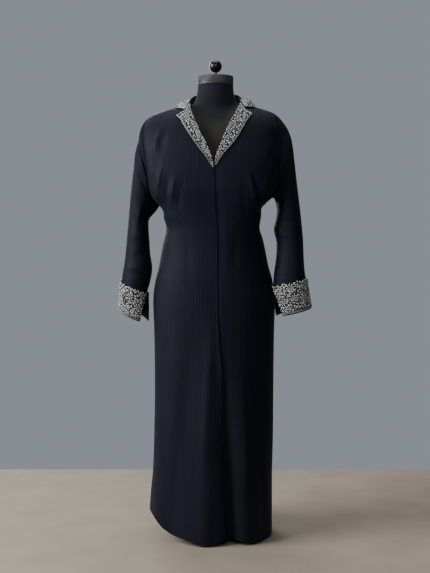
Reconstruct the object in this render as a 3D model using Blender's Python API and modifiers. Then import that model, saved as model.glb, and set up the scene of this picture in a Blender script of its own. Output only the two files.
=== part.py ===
"""Abaya cloak with notched lapels and turned-back cuffs, hanging open-hollow on a limbless dress form.

Run with: blender --background --python part.py, or from Blender's text editor. Units are metres.
+Z is up, the cloak's front faces -Y and the wearer's left is +X. The origin is the middle of the
underside of the form's round foot. Every cloth piece is one sheet: a flat slab that is bent on to the
garment's own surface, so two pieces that meet at a seam lie on one surface, a seam gap apart.
"""

import math

import bmesh
import bpy
import numpy as np

# Driving sizes.
CLOTH = 0.0015  # wall of the ribbed crepe
TRIM = 0.002  # wall of the brocade on lapels, collar and cuffs, with its interfacing
SEAM = 0.0003  # gap between two pieces at a seam, or between two layers
OVERLAP_RISE = 0.030  # width over which the left front sinks under the right one
UNDERLAP_TOP = 0.030  # height over which it comes up again at the break of the lapels
UNDERLAP_GAP = 0.0015  # gap between the two fronts there
LOOSE_UNDERLAP = 0.004  # how much further apart they hang down the skirt
LAPEL_ROLL = 0.004  # how far a lapel stands off the front along its fold
LAPEL_LIE = 0.0012  # the same at its free edge
CUFF_FLARE = 0.003  # how far the turned-back cuff stands off the sleeve at its upper edge
CUFF_RISE = 0.0035  # how much sleeve shows below the cuff
HEM_FADE = 0.50  # height over which the hem's unevenness dies out

# The cloak's body from hem to shoulder, a row for each level. side_z and mid_z are the heights at the
# side seam or armhole and at the middle, and tilt is how much higher the level lies on the wearer's left
# and lower on the right. right and left are the half widths; the edge columns are how far the armhole
# stands before and behind the side line; front and back are the depths at the middle, and the square
# columns say how boxy the plan is (2 is an ellipse).
BODY = (
    "side_z mid_z tilt right left front_edge back_edge front back front_square back_square",
    (0.004, 0.004, 0.000, 0.220, 0.189, 0.000, 0.000, 0.164, 0.196, 2.3, 2.3),
    (0.090, 0.090, 0.000, 0.216, 0.189, 0.000, 0.000, 0.161, 0.190, 2.3, 2.3),
    (0.200, 0.200, 0.000, 0.208, 0.189, 0.000, 0.000, 0.156, 0.182, 2.3, 2.3),
    (0.330, 0.330, 0.000, 0.204, 0.192, 0.000, 0.000, 0.151, 0.173, 2.3, 2.3),
    (0.460, 0.460, 0.000, 0.202, 0.193, 0.000, 0.000, 0.147, 0.165, 2.3, 2.3),
    (0.590, 0.590, 0.000, 0.203, 0.194, 0.000, 0.000, 0.143, 0.158, 2.3, 2.3),
    (0.700, 0.700, 0.000, 0.205, 0.196, 0.000, 0.000, 0.140, 0.153, 2.3, 2.3),
    (0.780, 0.780, 0.000, 0.206, 0.198, 0.000, 0.000, 0.138, 0.149, 2.3, 2.3),
    (0.845, 0.845, 0.000, 0.200, 0.191, 0.000, 0.000, 0.136, 0.144, 2.3, 2.3),
    (0.900, 0.900, 0.000, 0.188, 0.176, 0.000, 0.000, 0.134, 0.134, 2.3, 2.3),
    (0.950, 0.950, 0.000, 0.179, 0.166, 0.000, 0.000, 0.132, 0.122, 2.3, 2.3),
    (0.990, 0.990, 0.000, 0.171, 0.157, 0.000, 0.000, 0.131, 0.112, 2.5, 2.3),
    (1.025, 1.025, 0.000, 0.163, 0.146, 0.000, 0.000, 0.131, 0.106, 2.9, 2.5),
    (1.060, 1.060, 0.003, 0.171, 0.151, 0.000, 0.000, 0.133, 0.105, 3.4, 2.8),
    (1.088, 1.090, 0.008, 0.173, 0.156, 0.000, 0.000, 0.136, 0.107, 3.8, 3.1),
    (1.113, 1.118, 0.012, 0.187, 0.186, 0.000, 0.000, 0.139, 0.111, 3.7, 3.3),
    (1.133, 1.145, 0.008, 0.209, 0.197, 0.034, 0.036, 0.142, 0.115, 3.2, 3.1),
    (1.166, 1.182, 0.004, 0.219, 0.201, 0.056, 0.060, 0.142, 0.118, 2.9, 2.8),
    (1.210, 1.228, 0.002, 0.223, 0.203, 0.065, 0.072, 0.140, 0.119, 2.6, 2.6),
    (1.265, 1.284, 0.001, 0.231, 0.204, 0.064, 0.077, 0.130, 0.118, 2.6, 2.4),
    (1.318, 1.340, 0.001, 0.236, 0.206, 0.054, 0.071, 0.112, 0.113, 2.5, 2.2),
    (1.356, 1.384, 0.002, 0.233, 0.208, 0.042, 0.059, 0.090, 0.106, 2.4, 2.1),
    (1.383, 1.417, 0.003, 0.223, 0.205, 0.028, 0.043, 0.064, 0.096, 2.2, 2.0),
    (1.400, 1.438, 0.003, 0.211, 0.198, 0.013, 0.023, 0.034, 0.085, 2.0, 2.0),
    (1.406, 1.449, 0.003, 0.203, 0.190, 0.000, 0.000, 0.004, 0.076, 2.0, 2.0),
)
UNDERARM_ROW = 15  # the row of BODY where side seam and armhole meet
CLOSING_ROWS = 3.2  # how many rows the back takes to close from the shoulder blades to the neckline
NECK_HALF = 0.083  # half the width of the neckline at the shoulder seams
NECK_DIP = 0.016  # how far the neckline sags behind the neck
SHOULDER_BEND = 1.75  # how the height falls from the neck to the shoulder tip

# Where each front ends towards the middle, by height: the roll line of its lapel, and below the break
# its front edge. over_x is the right front, which lies on top, and under_x the left front.
FRONT_EDGES = (
    "z over_x under_x",
    (0.000, 0.042, -0.008),
    (0.250, 0.030, -0.020),
    (0.370, 0.022, -0.028),
    (0.530, 0.020, -0.030),
    (0.690, 0.009, -0.041),
    (0.820, 0.006, -0.044),
    (0.950, 0.006, -0.044),
    (1.050, 0.002, -0.048),
    (1.130, -0.002, -0.048),
    (1.174, -0.004, -0.030),
    (1.215, -0.0060, -0.0060),
    (1.247, -0.013, 0.001),
    (1.290, -0.029, 0.015),
    (1.328, -0.048, 0.030),
    (1.354, -0.059, 0.042),
    (1.380, -0.069, 0.055),
    (1.410, -0.078, 0.068),
    (1.449, -0.083, 0.083),
)

# Free edge of each lapel by the height of its level: how far it lies from the middle.
LAPEL_EDGES = (
    "z over_x under_x",
    (1.215, -0.0098, -0.0016),
    (1.251, -0.0327, 0.0200),
    (1.287, -0.0595, 0.0500),
    (1.309, -0.0740, 0.0661),
    (1.350, -0.0980, 0.0885),
    (1.380, -0.1130, 0.1035),
    (1.402, -0.1280, 0.1180),
)
# The lapels' upper edge, across from the roll line (0) to the free corner (1), by the height of its level.
LAPEL_TOPS = (
    "share over_z under_z",
    (0.0, 1.4430, 1.4430),
    (0.4, 1.4180, 1.4220),
    (1.0, 1.3995, 1.4045),
)
BREAK_Z = 1.215  # where the lapels part
UNDER_LAPEL_STEP = 0.008  # the left lapel starts this much above it
MIDDLE = np.array([0.0, 0.0, 0.9])  # a point inside the cloak, by which its cloth knows its outer side

# Uneven hem: how far it is lifted off the floor before and behind, by distance across.
HEM = (
    "x front_lift back_lift",
    (-0.222, 0.088, 0.088),
    (-0.193, 0.070, 0.094),
    (-0.170, 0.042, 0.092),
    (-0.145, 0.026, 0.089),
    (-0.106, 0.017, 0.082),
    (-0.030, 0.000, 0.062),
    (0.046, 0.015, 0.046),
    (0.118, 0.003, 0.030),
    (0.165, 0.004, 0.016),
    (0.190, 0.008, 0.008),
)

# The largest folds, each a soft ridge (or a trough where height is negative) along a line on the front
# or the back. It reaches its full height at full_z, and dies out at ends_z.
FOLDS = (
    "back top_x top_z foot_x foot_z half_width height ends_z full_z",
    (0, -0.008, 0.70, -0.034, 0.05, 0.034, 0.010, 0.82, 0.30),
    (0, -0.078, 0.66, -0.132, 0.10, 0.030, -0.008, 0.80, 0.35),
    (0, -0.178, 0.53, -0.186, 0.10, 0.016, 0.006, 0.66, 0.40),
    (0, 0.030, 0.62, 0.053, 0.02, 0.022, -0.026, 0.66, 0.02),
    (0, 0.074, 0.65, 0.114, 0.02, 0.036, 0.006, 0.80, 0.30),
    (0, 0.120, 0.60, 0.160, 0.05, 0.016, -0.005, 0.72, 0.30),
    (1, -0.010, 0.90, 0.020, 0.05, 0.034, -0.022, 0.98, 0.30),
    (1, -0.070, 0.84, -0.086, 0.05, 0.030, 0.016, 0.94, 0.30),
    (1, -0.120, 0.80, -0.150, 0.05, 0.026, -0.016, 0.90, 0.30),
    (1, 0.064, 0.86, 0.092, 0.05, 0.030, 0.014, 0.94, 0.30),
    (1, 0.118, 0.78, 0.146, 0.05, 0.022, -0.013, 0.88, 0.30),
)
FOLD_CLEAR = 0.020  # folds die out over this distance from an armhole or a side seam
UNDERARM_NORMAL = (0.73, -0.68)  # which way the cloth faces at the underarm, sideways and up
TIP_NORMAL = (0.48, 0.87)  # the same at the shoulder tip
NECK_NORMAL = (0.25, 0.97)  # the same where the shoulder seam meets the neckline

# Sleeves from armhole to hem, a row for each section: its outer and inner end seen from the front, how
# deep it is, how far forward it hangs, how much lower its front is than its back, how much it keeps of
# the armhole's own shape, and how far the slit at the cuff is open, as a share of the front half.
SLEEVE_COLUMNS = "out_x out_z in_x in_z half_depth forward droop armhole slit"
RIGHT_SLEEVE = (
    SLEEVE_COLUMNS,
    (0.203, 1.403, 0.187, 1.101, 0.070, 0.000, 0.000, 1.00, 0.00),
    (0.226, 1.386, 0.190, 1.096, 0.070, 0.000, 0.000, 0.86, 0.00),
    (0.239, 1.350, 0.193, 1.091, 0.068, 0.000, 0.000, 0.66, 0.00),
    (0.257, 1.306, 0.200, 1.081, 0.065, 0.000, 0.000, 0.44, 0.00),
    (0.2675, 1.252, 0.211, 1.069, 0.062, 0.001, 0.000, 0.24, 0.00),
    (0.278, 1.186, 0.2225, 1.053, 0.058, 0.002, 0.000, 0.10, 0.00),
    (0.285, 1.116, 0.2245, 1.026, 0.055, 0.004, 0.000, 0.00, 0.00),
    (0.2905, 1.046, 0.2215, 0.988, 0.053, 0.008, 0.000, 0.00, 0.00),
    (0.296, 0.976, 0.218, 0.940, 0.051, 0.012, 0.000, 0.00, 0.00),
    (0.302, 0.914, 0.211, 0.892, 0.049, 0.016, 0.001, 0.00, 0.00),
    (0.3085, 0.876, 0.218, 0.846, 0.047, 0.018, 0.003, 0.00, 0.00),
    (0.311, 0.850, 0.228, 0.808, 0.046, 0.019, 0.005, 0.00, 0.12),
    (0.315, 0.805, 0.226, 0.764, 0.045, 0.020, 0.008, 0.00, 0.26),
    (0.319, 0.755, 0.2255, 0.714, 0.044, 0.021, 0.010, 0.00, 0.34),
)
LEFT_SLEEVE = (
    SLEEVE_COLUMNS,
    (0.190, 1.409, 0.186, 1.125, 0.070, 0.000, 0.000, 1.00, 0.00),
    (0.210, 1.391, 0.189, 1.1255, 0.070, 0.000, 0.000, 0.86, 0.00),
    (0.238, 1.352, 0.193, 1.1265, 0.068, 0.002, 0.000, 0.66, 0.00),
    (0.252, 1.308, 0.1975, 1.121, 0.065, 0.004, 0.000, 0.44, 0.00),
    (0.2605, 1.252, 0.2015, 1.106, 0.062, 0.008, 0.000, 0.24, 0.00),
    (0.2685, 1.186, 0.2035, 1.082, 0.058, 0.012, 0.000, 0.10, 0.00),
    (0.277, 1.116, 0.199, 1.050, 0.055, 0.018, 0.000, 0.00, 0.00),
    (0.284, 1.050, 0.1935, 1.018, 0.053, 0.026, 0.000, 0.00, 0.00),
    (0.289, 0.985, 0.202, 0.975, 0.051, 0.036, 0.000, 0.00, 0.00),
    (0.290, 0.930, 0.199, 0.920, 0.049, 0.048, 0.000, 0.00, 0.00),
    (0.292, 0.886, 0.192, 0.874, 0.047, 0.060, 0.000, 0.00, 0.00),
    (0.296, 0.856, 0.190, 0.832, 0.046, 0.066, 0.001, 0.00, 0.05),
    (0.3035, 0.812, 0.196, 0.786, 0.045, 0.070, 0.003, 0.00, 0.17),
    (0.3135, 0.762, 0.2015, 0.735, 0.044, 0.073, 0.004, 0.00, 0.26),
)
CUFF_ROW = 11  # the row of a sleeve's table where its cuff begins
CUFF_ROW_HEIGHT = 0.05  # distance between the last two rows of a sleeve's table

# The collar, a row for each section from its front end on the wearer's right, round the back, to that on
# the left: the seam at the neckline, the fold along its top, the free edge that lies on the shoulders,
# how far the fall arches between fold and edge, and how far it dips to the notch above the lapel.
COLLAR = (
    "seam_x seam_y seam_z fold_x fold_y fold_z edge_x edge_y edge_z arch dip",
    (-0.0812, -0.016, 1.4370, -0.0845, -0.0180, 1.4450, -0.1300, -0.0370, 1.4215, 0.002, 1.00),
    (-0.0812, -0.004, 1.4400, -0.0848, -0.0030, 1.4495, -0.1320, -0.0120, 1.4300, 0.003, 0.00),
    (-0.0800, 0.012, 1.4410, -0.0830, 0.0140, 1.4560, -0.1300, 0.0180, 1.4290, 0.004, 0.00),
    (-0.0680, 0.0440, 1.4385, -0.0715, 0.0480, 1.4700, -0.1080, 0.0620, 1.4145, 0.006, 0.00),
    (-0.0400, 0.0670, 1.4365, -0.0430, 0.0745, 1.4800, -0.0620, 0.0905, 1.4130, 0.008, 0.00),
    (0.0000, 0.0772, 1.4355, 0.0000, 0.0860, 1.4830, 0.0000, 0.1005, 1.4165, 0.008, 0.00),
    (0.0400, 0.0670, 1.4365, 0.0430, 0.0745, 1.4805, 0.0640, 0.0915, 1.4145, 0.009, 0.00),
    (0.0680, 0.0440, 1.4385, 0.0735, 0.0460, 1.4735, 0.1120, 0.0620, 1.4140, 0.010, 0.00),
    (0.0800, 0.012, 1.4410, 0.0820, 0.0140, 1.4630, 0.1315, 0.0200, 1.4295, 0.010, 0.00),
    (0.0812, -0.004, 1.4405, 0.0815, -0.0030, 1.4550, 0.1310, -0.0120, 1.4325, 0.007, 0.00),
    (0.0812, -0.016, 1.4375, 0.0800, -0.0180, 1.4460, 0.1295, -0.0340, 1.4235, 0.003, 0.80),
)
NOTCH_SHARE = 0.38  # where along the collar's front end its notch lies
NOTCH_DIP = (-0.0035, -0.036, -0.0240)  # and how far it lies out, before and below a straight line

# The dress form, a row for each level: half width, depth before and behind, and squareness.
TORSO = (
    "z half front back square",
    (0.700, 0.150, 0.096, 0.104, 2.2),
    (0.760, 0.166, 0.104, 0.118, 2.2),
    (0.840, 0.172, 0.108, 0.126, 2.2),
    (0.920, 0.156, 0.104, 0.110, 2.1),
    (1.000, 0.131, 0.096, 0.088, 2.0),
    (1.040, 0.126, 0.096, 0.082, 2.0),
    (1.100, 0.137, 0.107, 0.085, 2.1),
    (1.160, 0.149, 0.120, 0.091, 2.2),
    (1.210, 0.155, 0.122, 0.096, 2.2),
    (1.260, 0.161, 0.112, 0.100, 2.2),
    (1.310, 0.170, 0.097, 0.100, 2.1),
    (1.350, 0.177, 0.080, 0.093, 2.0),
    (1.382, 0.172, 0.060, 0.078, 1.8),
    (1.402, 0.154, 0.048, 0.060, 1.6),
    (1.416, 0.130, 0.042, 0.048, 1.45),
    (1.428, 0.100, 0.041, 0.0425, 1.5),
    (1.4385, 0.077, 0.042, 0.0455, 1.8),
    (1.456, 0.066, 0.044, 0.050, 2.0),
    (1.480, 0.0605, 0.046, 0.050, 2.0),
    (1.500, 0.0592, 0.047, 0.049, 2.0),
)
CAP_HEIGHT = 0.030
CAP_EDGE = 0.002
KNOB_RADIUS = 0.021
KNOB_HEIGHT = 0.0337  # centre of the knob above the cap
STEM_RADIUS = 0.0045
POLE_RADIUS = 0.0125
FOOT_RADIUS = 0.095
FOOT_EDGE = 0.008
FOOT_CROWN = 0.016
HUB_RADIUS = 0.024
HUB_HEIGHT = 0.060

# Mesh steps.
FRONT_COLUMNS, BACK_COLUMNS = 20, 28
SKIRT_ROWS, CHEST_ROWS = 13, 14  # below and above the underarm
SLEEVE_ROWS = 14
CUFF_ROWS = 3
LAPEL_COLUMNS, LAPEL_ROWS = 5, 12
COLLAR_LENGTHS, STAND_RINGS, FALL_RINGS = 26, 2, 5
TORSO_SIDES, TORSO_RINGS = 32, 22
ROUND_SIDES, SMALL_SIDES = 32, 20
KNOB_POINTS = 10
CURVE_STEPS = 160  # points on a section before it is spaced out evenly

# Finishes: colour, roughness, metallic.
CREPE = ("black_ribbed_crepe", (0.012, 0.013, 0.018), 0.75, 0.0)
BROCADE = ("ivory_scroll_brocade", (0.42, 0.41, 0.37), 0.55, 0.1)
JERSEY = ("black_form_jersey", (0.016, 0.015, 0.014), 0.85, 0.0)
PEWTER = ("aged_pewter", (0.20, 0.18, 0.16), 0.40, 1.0)
BLACK_KNOB = ("black_lacquer", (0.010, 0.010, 0.011), 0.20, 0.0)
STEEL = ("satin_steel", (0.42, 0.42, 0.43), 0.38, 1.0)


# ---------------------------------------------------------------- tables and curves


def columns(table):
    """A table's rows as a dictionary of arrays, one for each named column."""
    names, values = table[0].split(), np.array(table[1:], float)
    return {name: values[:, i] for i, name in enumerate(names)}


def smooth(at, knots, values):
    """Values between the knots on one smooth curve, with the slope at each knot from its neighbours."""
    knots, values = np.asarray(knots, float), np.asarray(values, float)
    at = np.clip(np.asarray(at, float), knots[0], knots[-1])
    slopes = np.gradient(values, knots)
    i = np.clip(np.searchsorted(knots, at, side="right") - 1, 0, len(knots) - 2)
    span = knots[i + 1] - knots[i]
    t = (at - knots[i]) / span
    return (
        values[i] * (1 + 2 * t) * (1 - t) ** 2
        + slopes[i] * span * t * (1 - t) ** 2
        + values[i + 1] * t * t * (3 - 2 * t)
        + slopes[i + 1] * span * t * t * (t - 1)
    )


def ease(t):
    """0 below 0, 1 above 1, and a smooth rise between."""
    t = np.clip(t, 0.0, 1.0)
    return t * t * (3 - 2 * t)


def spaced(curve, shares):
    """Points at these shares of a curve's length."""
    steps = np.linalg.norm(np.diff(curve[:, :3], axis=0), axis=1)
    length = np.concatenate([[0.0], np.cumsum(steps)])
    wanted = np.asarray(shares) * length[-1]
    return np.stack([np.interp(wanted, length, column) for column in curve.T], axis=1)


def unit(vectors):
    return vectors / np.maximum(np.linalg.norm(vectors, axis=-1, keepdims=True), 1e-12)


def outward(points, inside):
    """The sheet's normals at each point of a grid, on the side away from the points in inside."""
    down, across = np.gradient(points, axis=0), np.gradient(points, axis=1)
    normals = unit(np.cross(across, down))
    turn = np.sum(normals * (points - inside)) < 0
    return -normals if turn else normals


# ---------------------------------------------------------------- the cloak's surface

BODY_AT = columns(BODY)
BODY_TOP = len(BODY) - 2  # station of the shoulder seam; stations count the rows of BODY
EDGES_AT = columns(FRONT_EDGES)
LAPEL_AT = columns(LAPEL_EDGES)
HEM_AT = columns(HEM)
FOLDS_AT = columns(FOLDS)


def level(station):
    """Every column of BODY at a station, which may lie between two rows."""
    rows = np.arange(len(BODY) - 1)
    return {name: float(smooth(station, rows, values)) for name, values in BODY_AT.items()}


def station_of(z):
    """The station whose middle is at this height."""
    return float(np.interp(z, BODY_AT["mid_z"], np.arange(len(BODY) - 1)))


def section(station, back):
    """The front or back half of the body's outline at a station, from the wearer's right to the left.
    Each point has its place, its outward direction in plan and its distance from the nearer end."""
    row = level(station)
    edge = row["back_edge"] if back else row["front_edge"]
    depth = row["back"] if back else row["front"]
    square = row["back_square"] if back else row["front_square"]
    turn = np.linspace(0.0, math.pi, CURVE_STEPS + 1)
    half = np.where(turn < math.pi / 2, row["right"], row["left"])
    x = -np.sign(np.cos(turn)) * half * np.abs(np.cos(turn)) ** (2 / square)
    y = edge + (depth - edge) * np.sin(turn) ** (2 / square)
    share = x / half
    z = row["mid_z"] + (row["side_z"] - row["mid_z"]) * np.abs(share) ** SHOULDER_BEND
    z = z + row["tilt"] * share
    if back:
        # Towards the top the back closes round the neck and lies flat along the shoulder seams.
        close = ease((station - (BODY_TOP - CLOSING_ROWS)) / CLOSING_ROWS)
        inside = np.clip(1 - (x / NECK_HALF) ** 2, 0, 1)
        shoulder = edge * np.clip((np.abs(x) - NECK_HALF) / (half - NECK_HALF), 0, 1)
        y = y + (depth * np.sqrt(inside) + shoulder - y) * close
        z = z - NECK_DIP * inside * close
    toward = 1.0 if back else -1.0
    z = z + hem_lift(x, row["side_z"], back)
    curve = np.stack([x, toward * y, z], axis=1)
    tangent = unit(np.gradient(curve[:, :2], axis=0))
    normal = np.stack([-tangent[:, 1], tangent[:, 0]], axis=1) * toward
    length = np.concatenate([[0.0], np.cumsum(np.linalg.norm(np.diff(curve, axis=0), axis=1))])
    from_end = np.minimum(length, length[-1] - length)
    return np.column_stack([curve, normal, from_end])


def hem_lift(x, nominal, back):
    """How far the hem's unevenness lifts a point whose level would be nominal."""
    lift = smooth(x, HEM_AT["x"], HEM_AT["back_lift" if back else "front_lift"])
    return lift * max(0.0, 1 - nominal / HEM_FADE) ** 2


def fold(line, nominal, back):
    """Moves points of a section in and out along their own normals, fold by fold."""
    x, push = line[:, 0], np.zeros(len(line))
    for i in range(len(FOLDS) - 1):
        one = {name: values[i] for name, values in FOLDS_AT.items()}
        if bool(one["back"]) != back:
            continue
        share = (one["top_z"] - nominal) / (one["top_z"] - one["foot_z"])
        centre = one["top_x"] + (one["foot_x"] - one["top_x"]) * share
        rise = ease((one["ends_z"] - nominal) / (one["ends_z"] - one["full_z"]))
        push += one["height"] * rise * np.exp(-(((x - centre) / one["half_width"]) ** 2))
    push *= ease(line[:, 5] / FOLD_CLEAR)
    points = line[:, :3].copy()
    points[:, :2] += line[:, 3:5] * push[:, None]
    return points


def along(station, back, x_from, x_to, shares):
    """Evenly spaced points of a section between two distances across, with the folds in them."""
    curve = section(station, back)
    kept = curve[(curve[:, 0] > x_from) & (curve[:, 0] < x_to)]
    ends = [[np.interp(x, curve[:, 0], column) for column in curve.T] for x in (x_from, x_to)]
    line = spaced(np.vstack([ends[:1], kept, ends[1:]]), shares)
    return fold(line, level(station)["side_z"], back)


def seam_point(side, back, station):
    """Where a panel ends at the side seam or the armhole. side is -1 for the wearer's right."""
    row = level(station)
    x, z = side * row["right" if side < 0 else "left"], row["side_z"] + side * row["tilt"]
    if station <= UNDERARM_ROW:
        return np.array([x, 0.0, z + float(hem_lift(x, z, back))])
    return np.array([x, row["back_edge"] if back else -row["front_edge"], z])


def armhole(side):
    """The armhole as a loop of seam points, up the front from the underarm and down the back to it.
    Front, back and sleeve all take their points, directions and gaps there from this loop."""
    up = [station for station in body_rows() if station >= UNDERARM_ROW]
    stops = [(False, station) for station in up] + [(True, station) for station in up[::-1]]
    points = np.array([seam_point(side, back, station) for back, station in stops])
    ring = np.delete(points, len(up), axis=0)[:-1]
    tangent = unit(np.roll(ring, -1, axis=0) - np.roll(ring, 1, axis=0))
    tangent = np.insert(np.vstack([tangent, tangent[:1]]), len(up), tangent[len(up) - 1], axis=0)
    chord = points[len(up)] - points[0]
    found = {}
    for (back, station), point, way in zip(stops, points, tangent):
        share = float(np.clip((point - points[0]) @ chord / (chord @ chord), 0, 1))
        climb = math.acos(1 - 2 * share) / math.pi
        depth = (1 if back else -1) * math.sin(math.pi * climb)
        up_x, up_z = TIP_NORMAL if climb > 0.5 else UNDERARM_NORMAL
        x_part = 0.75 + (up_x - 0.75) * abs(math.cos(math.pi * climb))
        z_part = up_z * abs(math.cos(math.pi * climb))
        out = unit(np.array([side * x_part, 0.75 * depth, z_part]))
        across = unit(np.cross(way, out))
        across = across if across[0] * side > 0 else -across
        found[back, station] = (point, points[0] + chord * share, climb, across, out)
    return found


# ---------------------------------------------------------------- making solids


def finish(mesh_object, finish_of, group):
    """Gives an object its material and its collection."""
    name, colour, roughness, metallic = finish_of
    material = bpy.data.materials.get(name) or bpy.data.materials.new(name)
    material.use_nodes = True
    shader = material.node_tree.nodes["Principled BSDF"]
    shader.inputs["Base Color"].default_value = (*colour, 1.0)
    shader.inputs["Roughness"].default_value = roughness
    shader.inputs["Metallic"].default_value = metallic
    material.diffuse_color = (*colour, 1.0)
    mesh_object.data.materials.clear()
    mesh_object.data.materials.append(material)
    mesh_object.data.shade_smooth()
    mesh_object.data.set_sharp_from_angle(angle=math.radians(50))
    group.objects.link(mesh_object)
    return mesh_object


def sheet(name, points, normals, thickness, finish_of, group):
    """A closed wall: its outer face runs through the grid of points and its inner face lies within."""
    rows, cols = points.shape[0] - 1, points.shape[1] - 1
    bm = bmesh.new()
    bmesh.ops.create_grid(bm, x_segments=cols, y_segments=rows, size=0.5)
    bmesh.ops.extrude_face_region(bm, geom=bm.faces[:])
    bm.verts.ensure_lookup_table()
    placed = set()
    for vert in bm.verts:
        j, i = round((vert.co.x + 0.5) * cols), round((vert.co.y + 0.5) * rows)
        inner = (i, j) in placed
        placed.add((i, j))
        vert.co = points[i, j] - normals[i, j] * (thickness if inner else 0.0)
    bmesh.ops.recalc_face_normals(bm, faces=bm.faces[:])
    if bm.calc_volume(signed=True) < 0:
        bmesh.ops.reverse_faces(bm, faces=bm.faces[:])
    mesh = bpy.data.meshes.new(name)
    bm.to_mesh(mesh)
    bm.free()
    return finish(bpy.data.objects.new(name, mesh), finish_of, group)


def body_rows():
    """Stations of the mesh rows: one is at the underarm, and they lie closer above it."""
    skirt = np.linspace(0, UNDERARM_ROW, SKIRT_ROWS + 1)
    chest = np.linspace(UNDERARM_ROW, BODY_TOP, CHEST_ROWS + 1)
    return [float(station) for station in skirt] + [float(station) for station in chest[1:]]


def panel_grid(back, x_from, x_to, count):
    """Points of a body panel. x_from and x_to give its two edges at a level."""
    shares = np.linspace(0, 1, count + 1)
    rows = []
    for station in body_rows():
        row = level(station)
        rows.append(along(station, back, x_from(row), x_to(row), shares))
    return np.array(rows)


def dress_seams(points, normals, back, sides):
    """Sets the places, directions and gaps along a panel's side seams, armholes and shoulder seams.
    sides pairs a column of the grid with the side of the body that it lies on."""
    toward = 1.0 if back else -1.0
    top = points[-1]
    for j in np.flatnonzero(np.abs(top[:, 0]) >= NECK_HALF - 1e-6):
        tip = BODY_AT["right" if top[j, 0] < 0 else "left"][-1]
        share = ((abs(top[j, 0]) - NECK_HALF) / (tip - NECK_HALF)) ** 2
        sideways, upward = np.array(NECK_NORMAL) * (1 - share) + np.array(TIP_NORMAL) * share
        normals[-1, j] = unit(np.array([math.copysign(sideways, top[j, 0]), 0.0, upward]))
        points[-1, j, 1] += toward * SEAM / 2
    for column, side in sides:
        seam = armhole(side)
        for i, station in enumerate(body_rows()):
            if station < UNDERARM_ROW:
                blend = ease(station - UNDERARM_ROW + 1)
                down = blend * UNDERARM_NORMAL[1] / UNDERARM_NORMAL[0]
                points[i, column] = seam_point(side, back, station)
                points[i, column, 1] = toward * SEAM / 2
                normals[i, column] = unit(np.array([side, 0.0, down]))
            else:
                place, _, _, across, out = seam[back, station]
                points[i, column] = place - across * SEAM / 2
                if station in (UNDERARM_ROW, BODY_TOP):
                    points[i, column, 1] += toward * SEAM / 2
                normals[i, column] = out
    return points, normals


def make_back(group):
    points = panel_grid(True, lambda row: -row["right"], lambda row: row["left"], BACK_COLUMNS)
    normals = outward(points, MIDDLE)
    points, normals = dress_seams(points, normals, True, ((0, -1), (-1, 1)))
    return sheet("back", points, normals, CLOTH, CREPE, group)


def front_edge(row, column):
    """Where a front ends towards the middle at a level."""
    return float(smooth(row["mid_z"], EDGES_AT["z"], EDGES_AT[column]))


def make_right_front(group):
    """The front that lies on top, on the wearer's right."""
    points = panel_grid(
        False, lambda row: -row["right"], lambda row: front_edge(row, "over_x"), FRONT_COLUMNS
    )
    normals = outward(points, MIDDLE)
    points, normals = dress_seams(points, normals, False, ((0, -1),))
    return sheet("front_right", points, normals, CLOTH, CREPE, group)


def sink(points, normals):
    """Moves the left front in, where it runs under the right one."""
    edge = smooth(points[..., 2], EDGES_AT["z"], EDGES_AT["over_x"])
    below = ease((BREAK_Z + UNDERLAP_TOP - points[..., 2]) / UNDERLAP_TOP)
    under = ease((edge + OVERLAP_RISE - points[..., 0]) / OVERLAP_RISE) * below
    loose = LOOSE_UNDERLAP * ease((0.80 - points[..., 2]) / 0.15)
    return points - normals * (under * (CLOTH + UNDERLAP_GAP + loose))[..., None]


def make_left_front(group):
    """The front that runs under, on the wearer's left."""
    points = panel_grid(
        False, lambda row: front_edge(row, "under_x"), lambda row: row["left"], FRONT_COLUMNS
    )
    normals = outward(points, MIDDLE)
    points = sink(points, normals)
    points, normals = dress_seams(points, normals, False, ((-1, 1),))
    return sheet("front_left", points, normals, CLOTH, CREPE, group)


def spot(station, back, x):
    """The point of a panel's surface at a station and a distance across."""
    curve = section(station, back)
    line = np.array([[np.interp(x, curve[:, 0], column) for column in curve.T]])
    return fold(line, level(station)["side_z"], back)[0]


def make_lapel(name, column, break_z, group):
    """A lapel lies on its front, from the roll line to its free edge, and stands off it a little."""
    tops = columns(LAPEL_TOPS)
    across, climbs = np.linspace(0, 1, LAPEL_COLUMNS + 1), np.linspace(0, 1, LAPEL_ROWS + 1)
    low = station_of(break_z)
    heights = smooth(across, tops["share"], tops[column.replace("_x", "_z")])
    rows = []
    for climb in climbs:
        line = []
        for share, height in zip(across, heights):
            station = low + (station_of(float(height)) - low) * climb
            row = level(station)
            inner = front_edge(row, column)
            outer = float(smooth(row["mid_z"], LAPEL_AT["z"], LAPEL_AT[column]))
            line.append(spot(station, False, inner + (outer - inner) * share))
        rows.append(line)
    points = np.array(rows)
    normals = outward(points, MIDDLE)
    stand = LAPEL_LIE + (LAPEL_ROLL - LAPEL_LIE) * (1 - across) ** 2
    off = SEAM + TRIM + stand[None, :] * ease(4 * climbs)[:, None]
    points = points + normals * off[..., None]
    return sheet(name, points, normals, TRIM, BROCADE, group)


# ---------------------------------------------------------------- sleeves and cuffs


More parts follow.
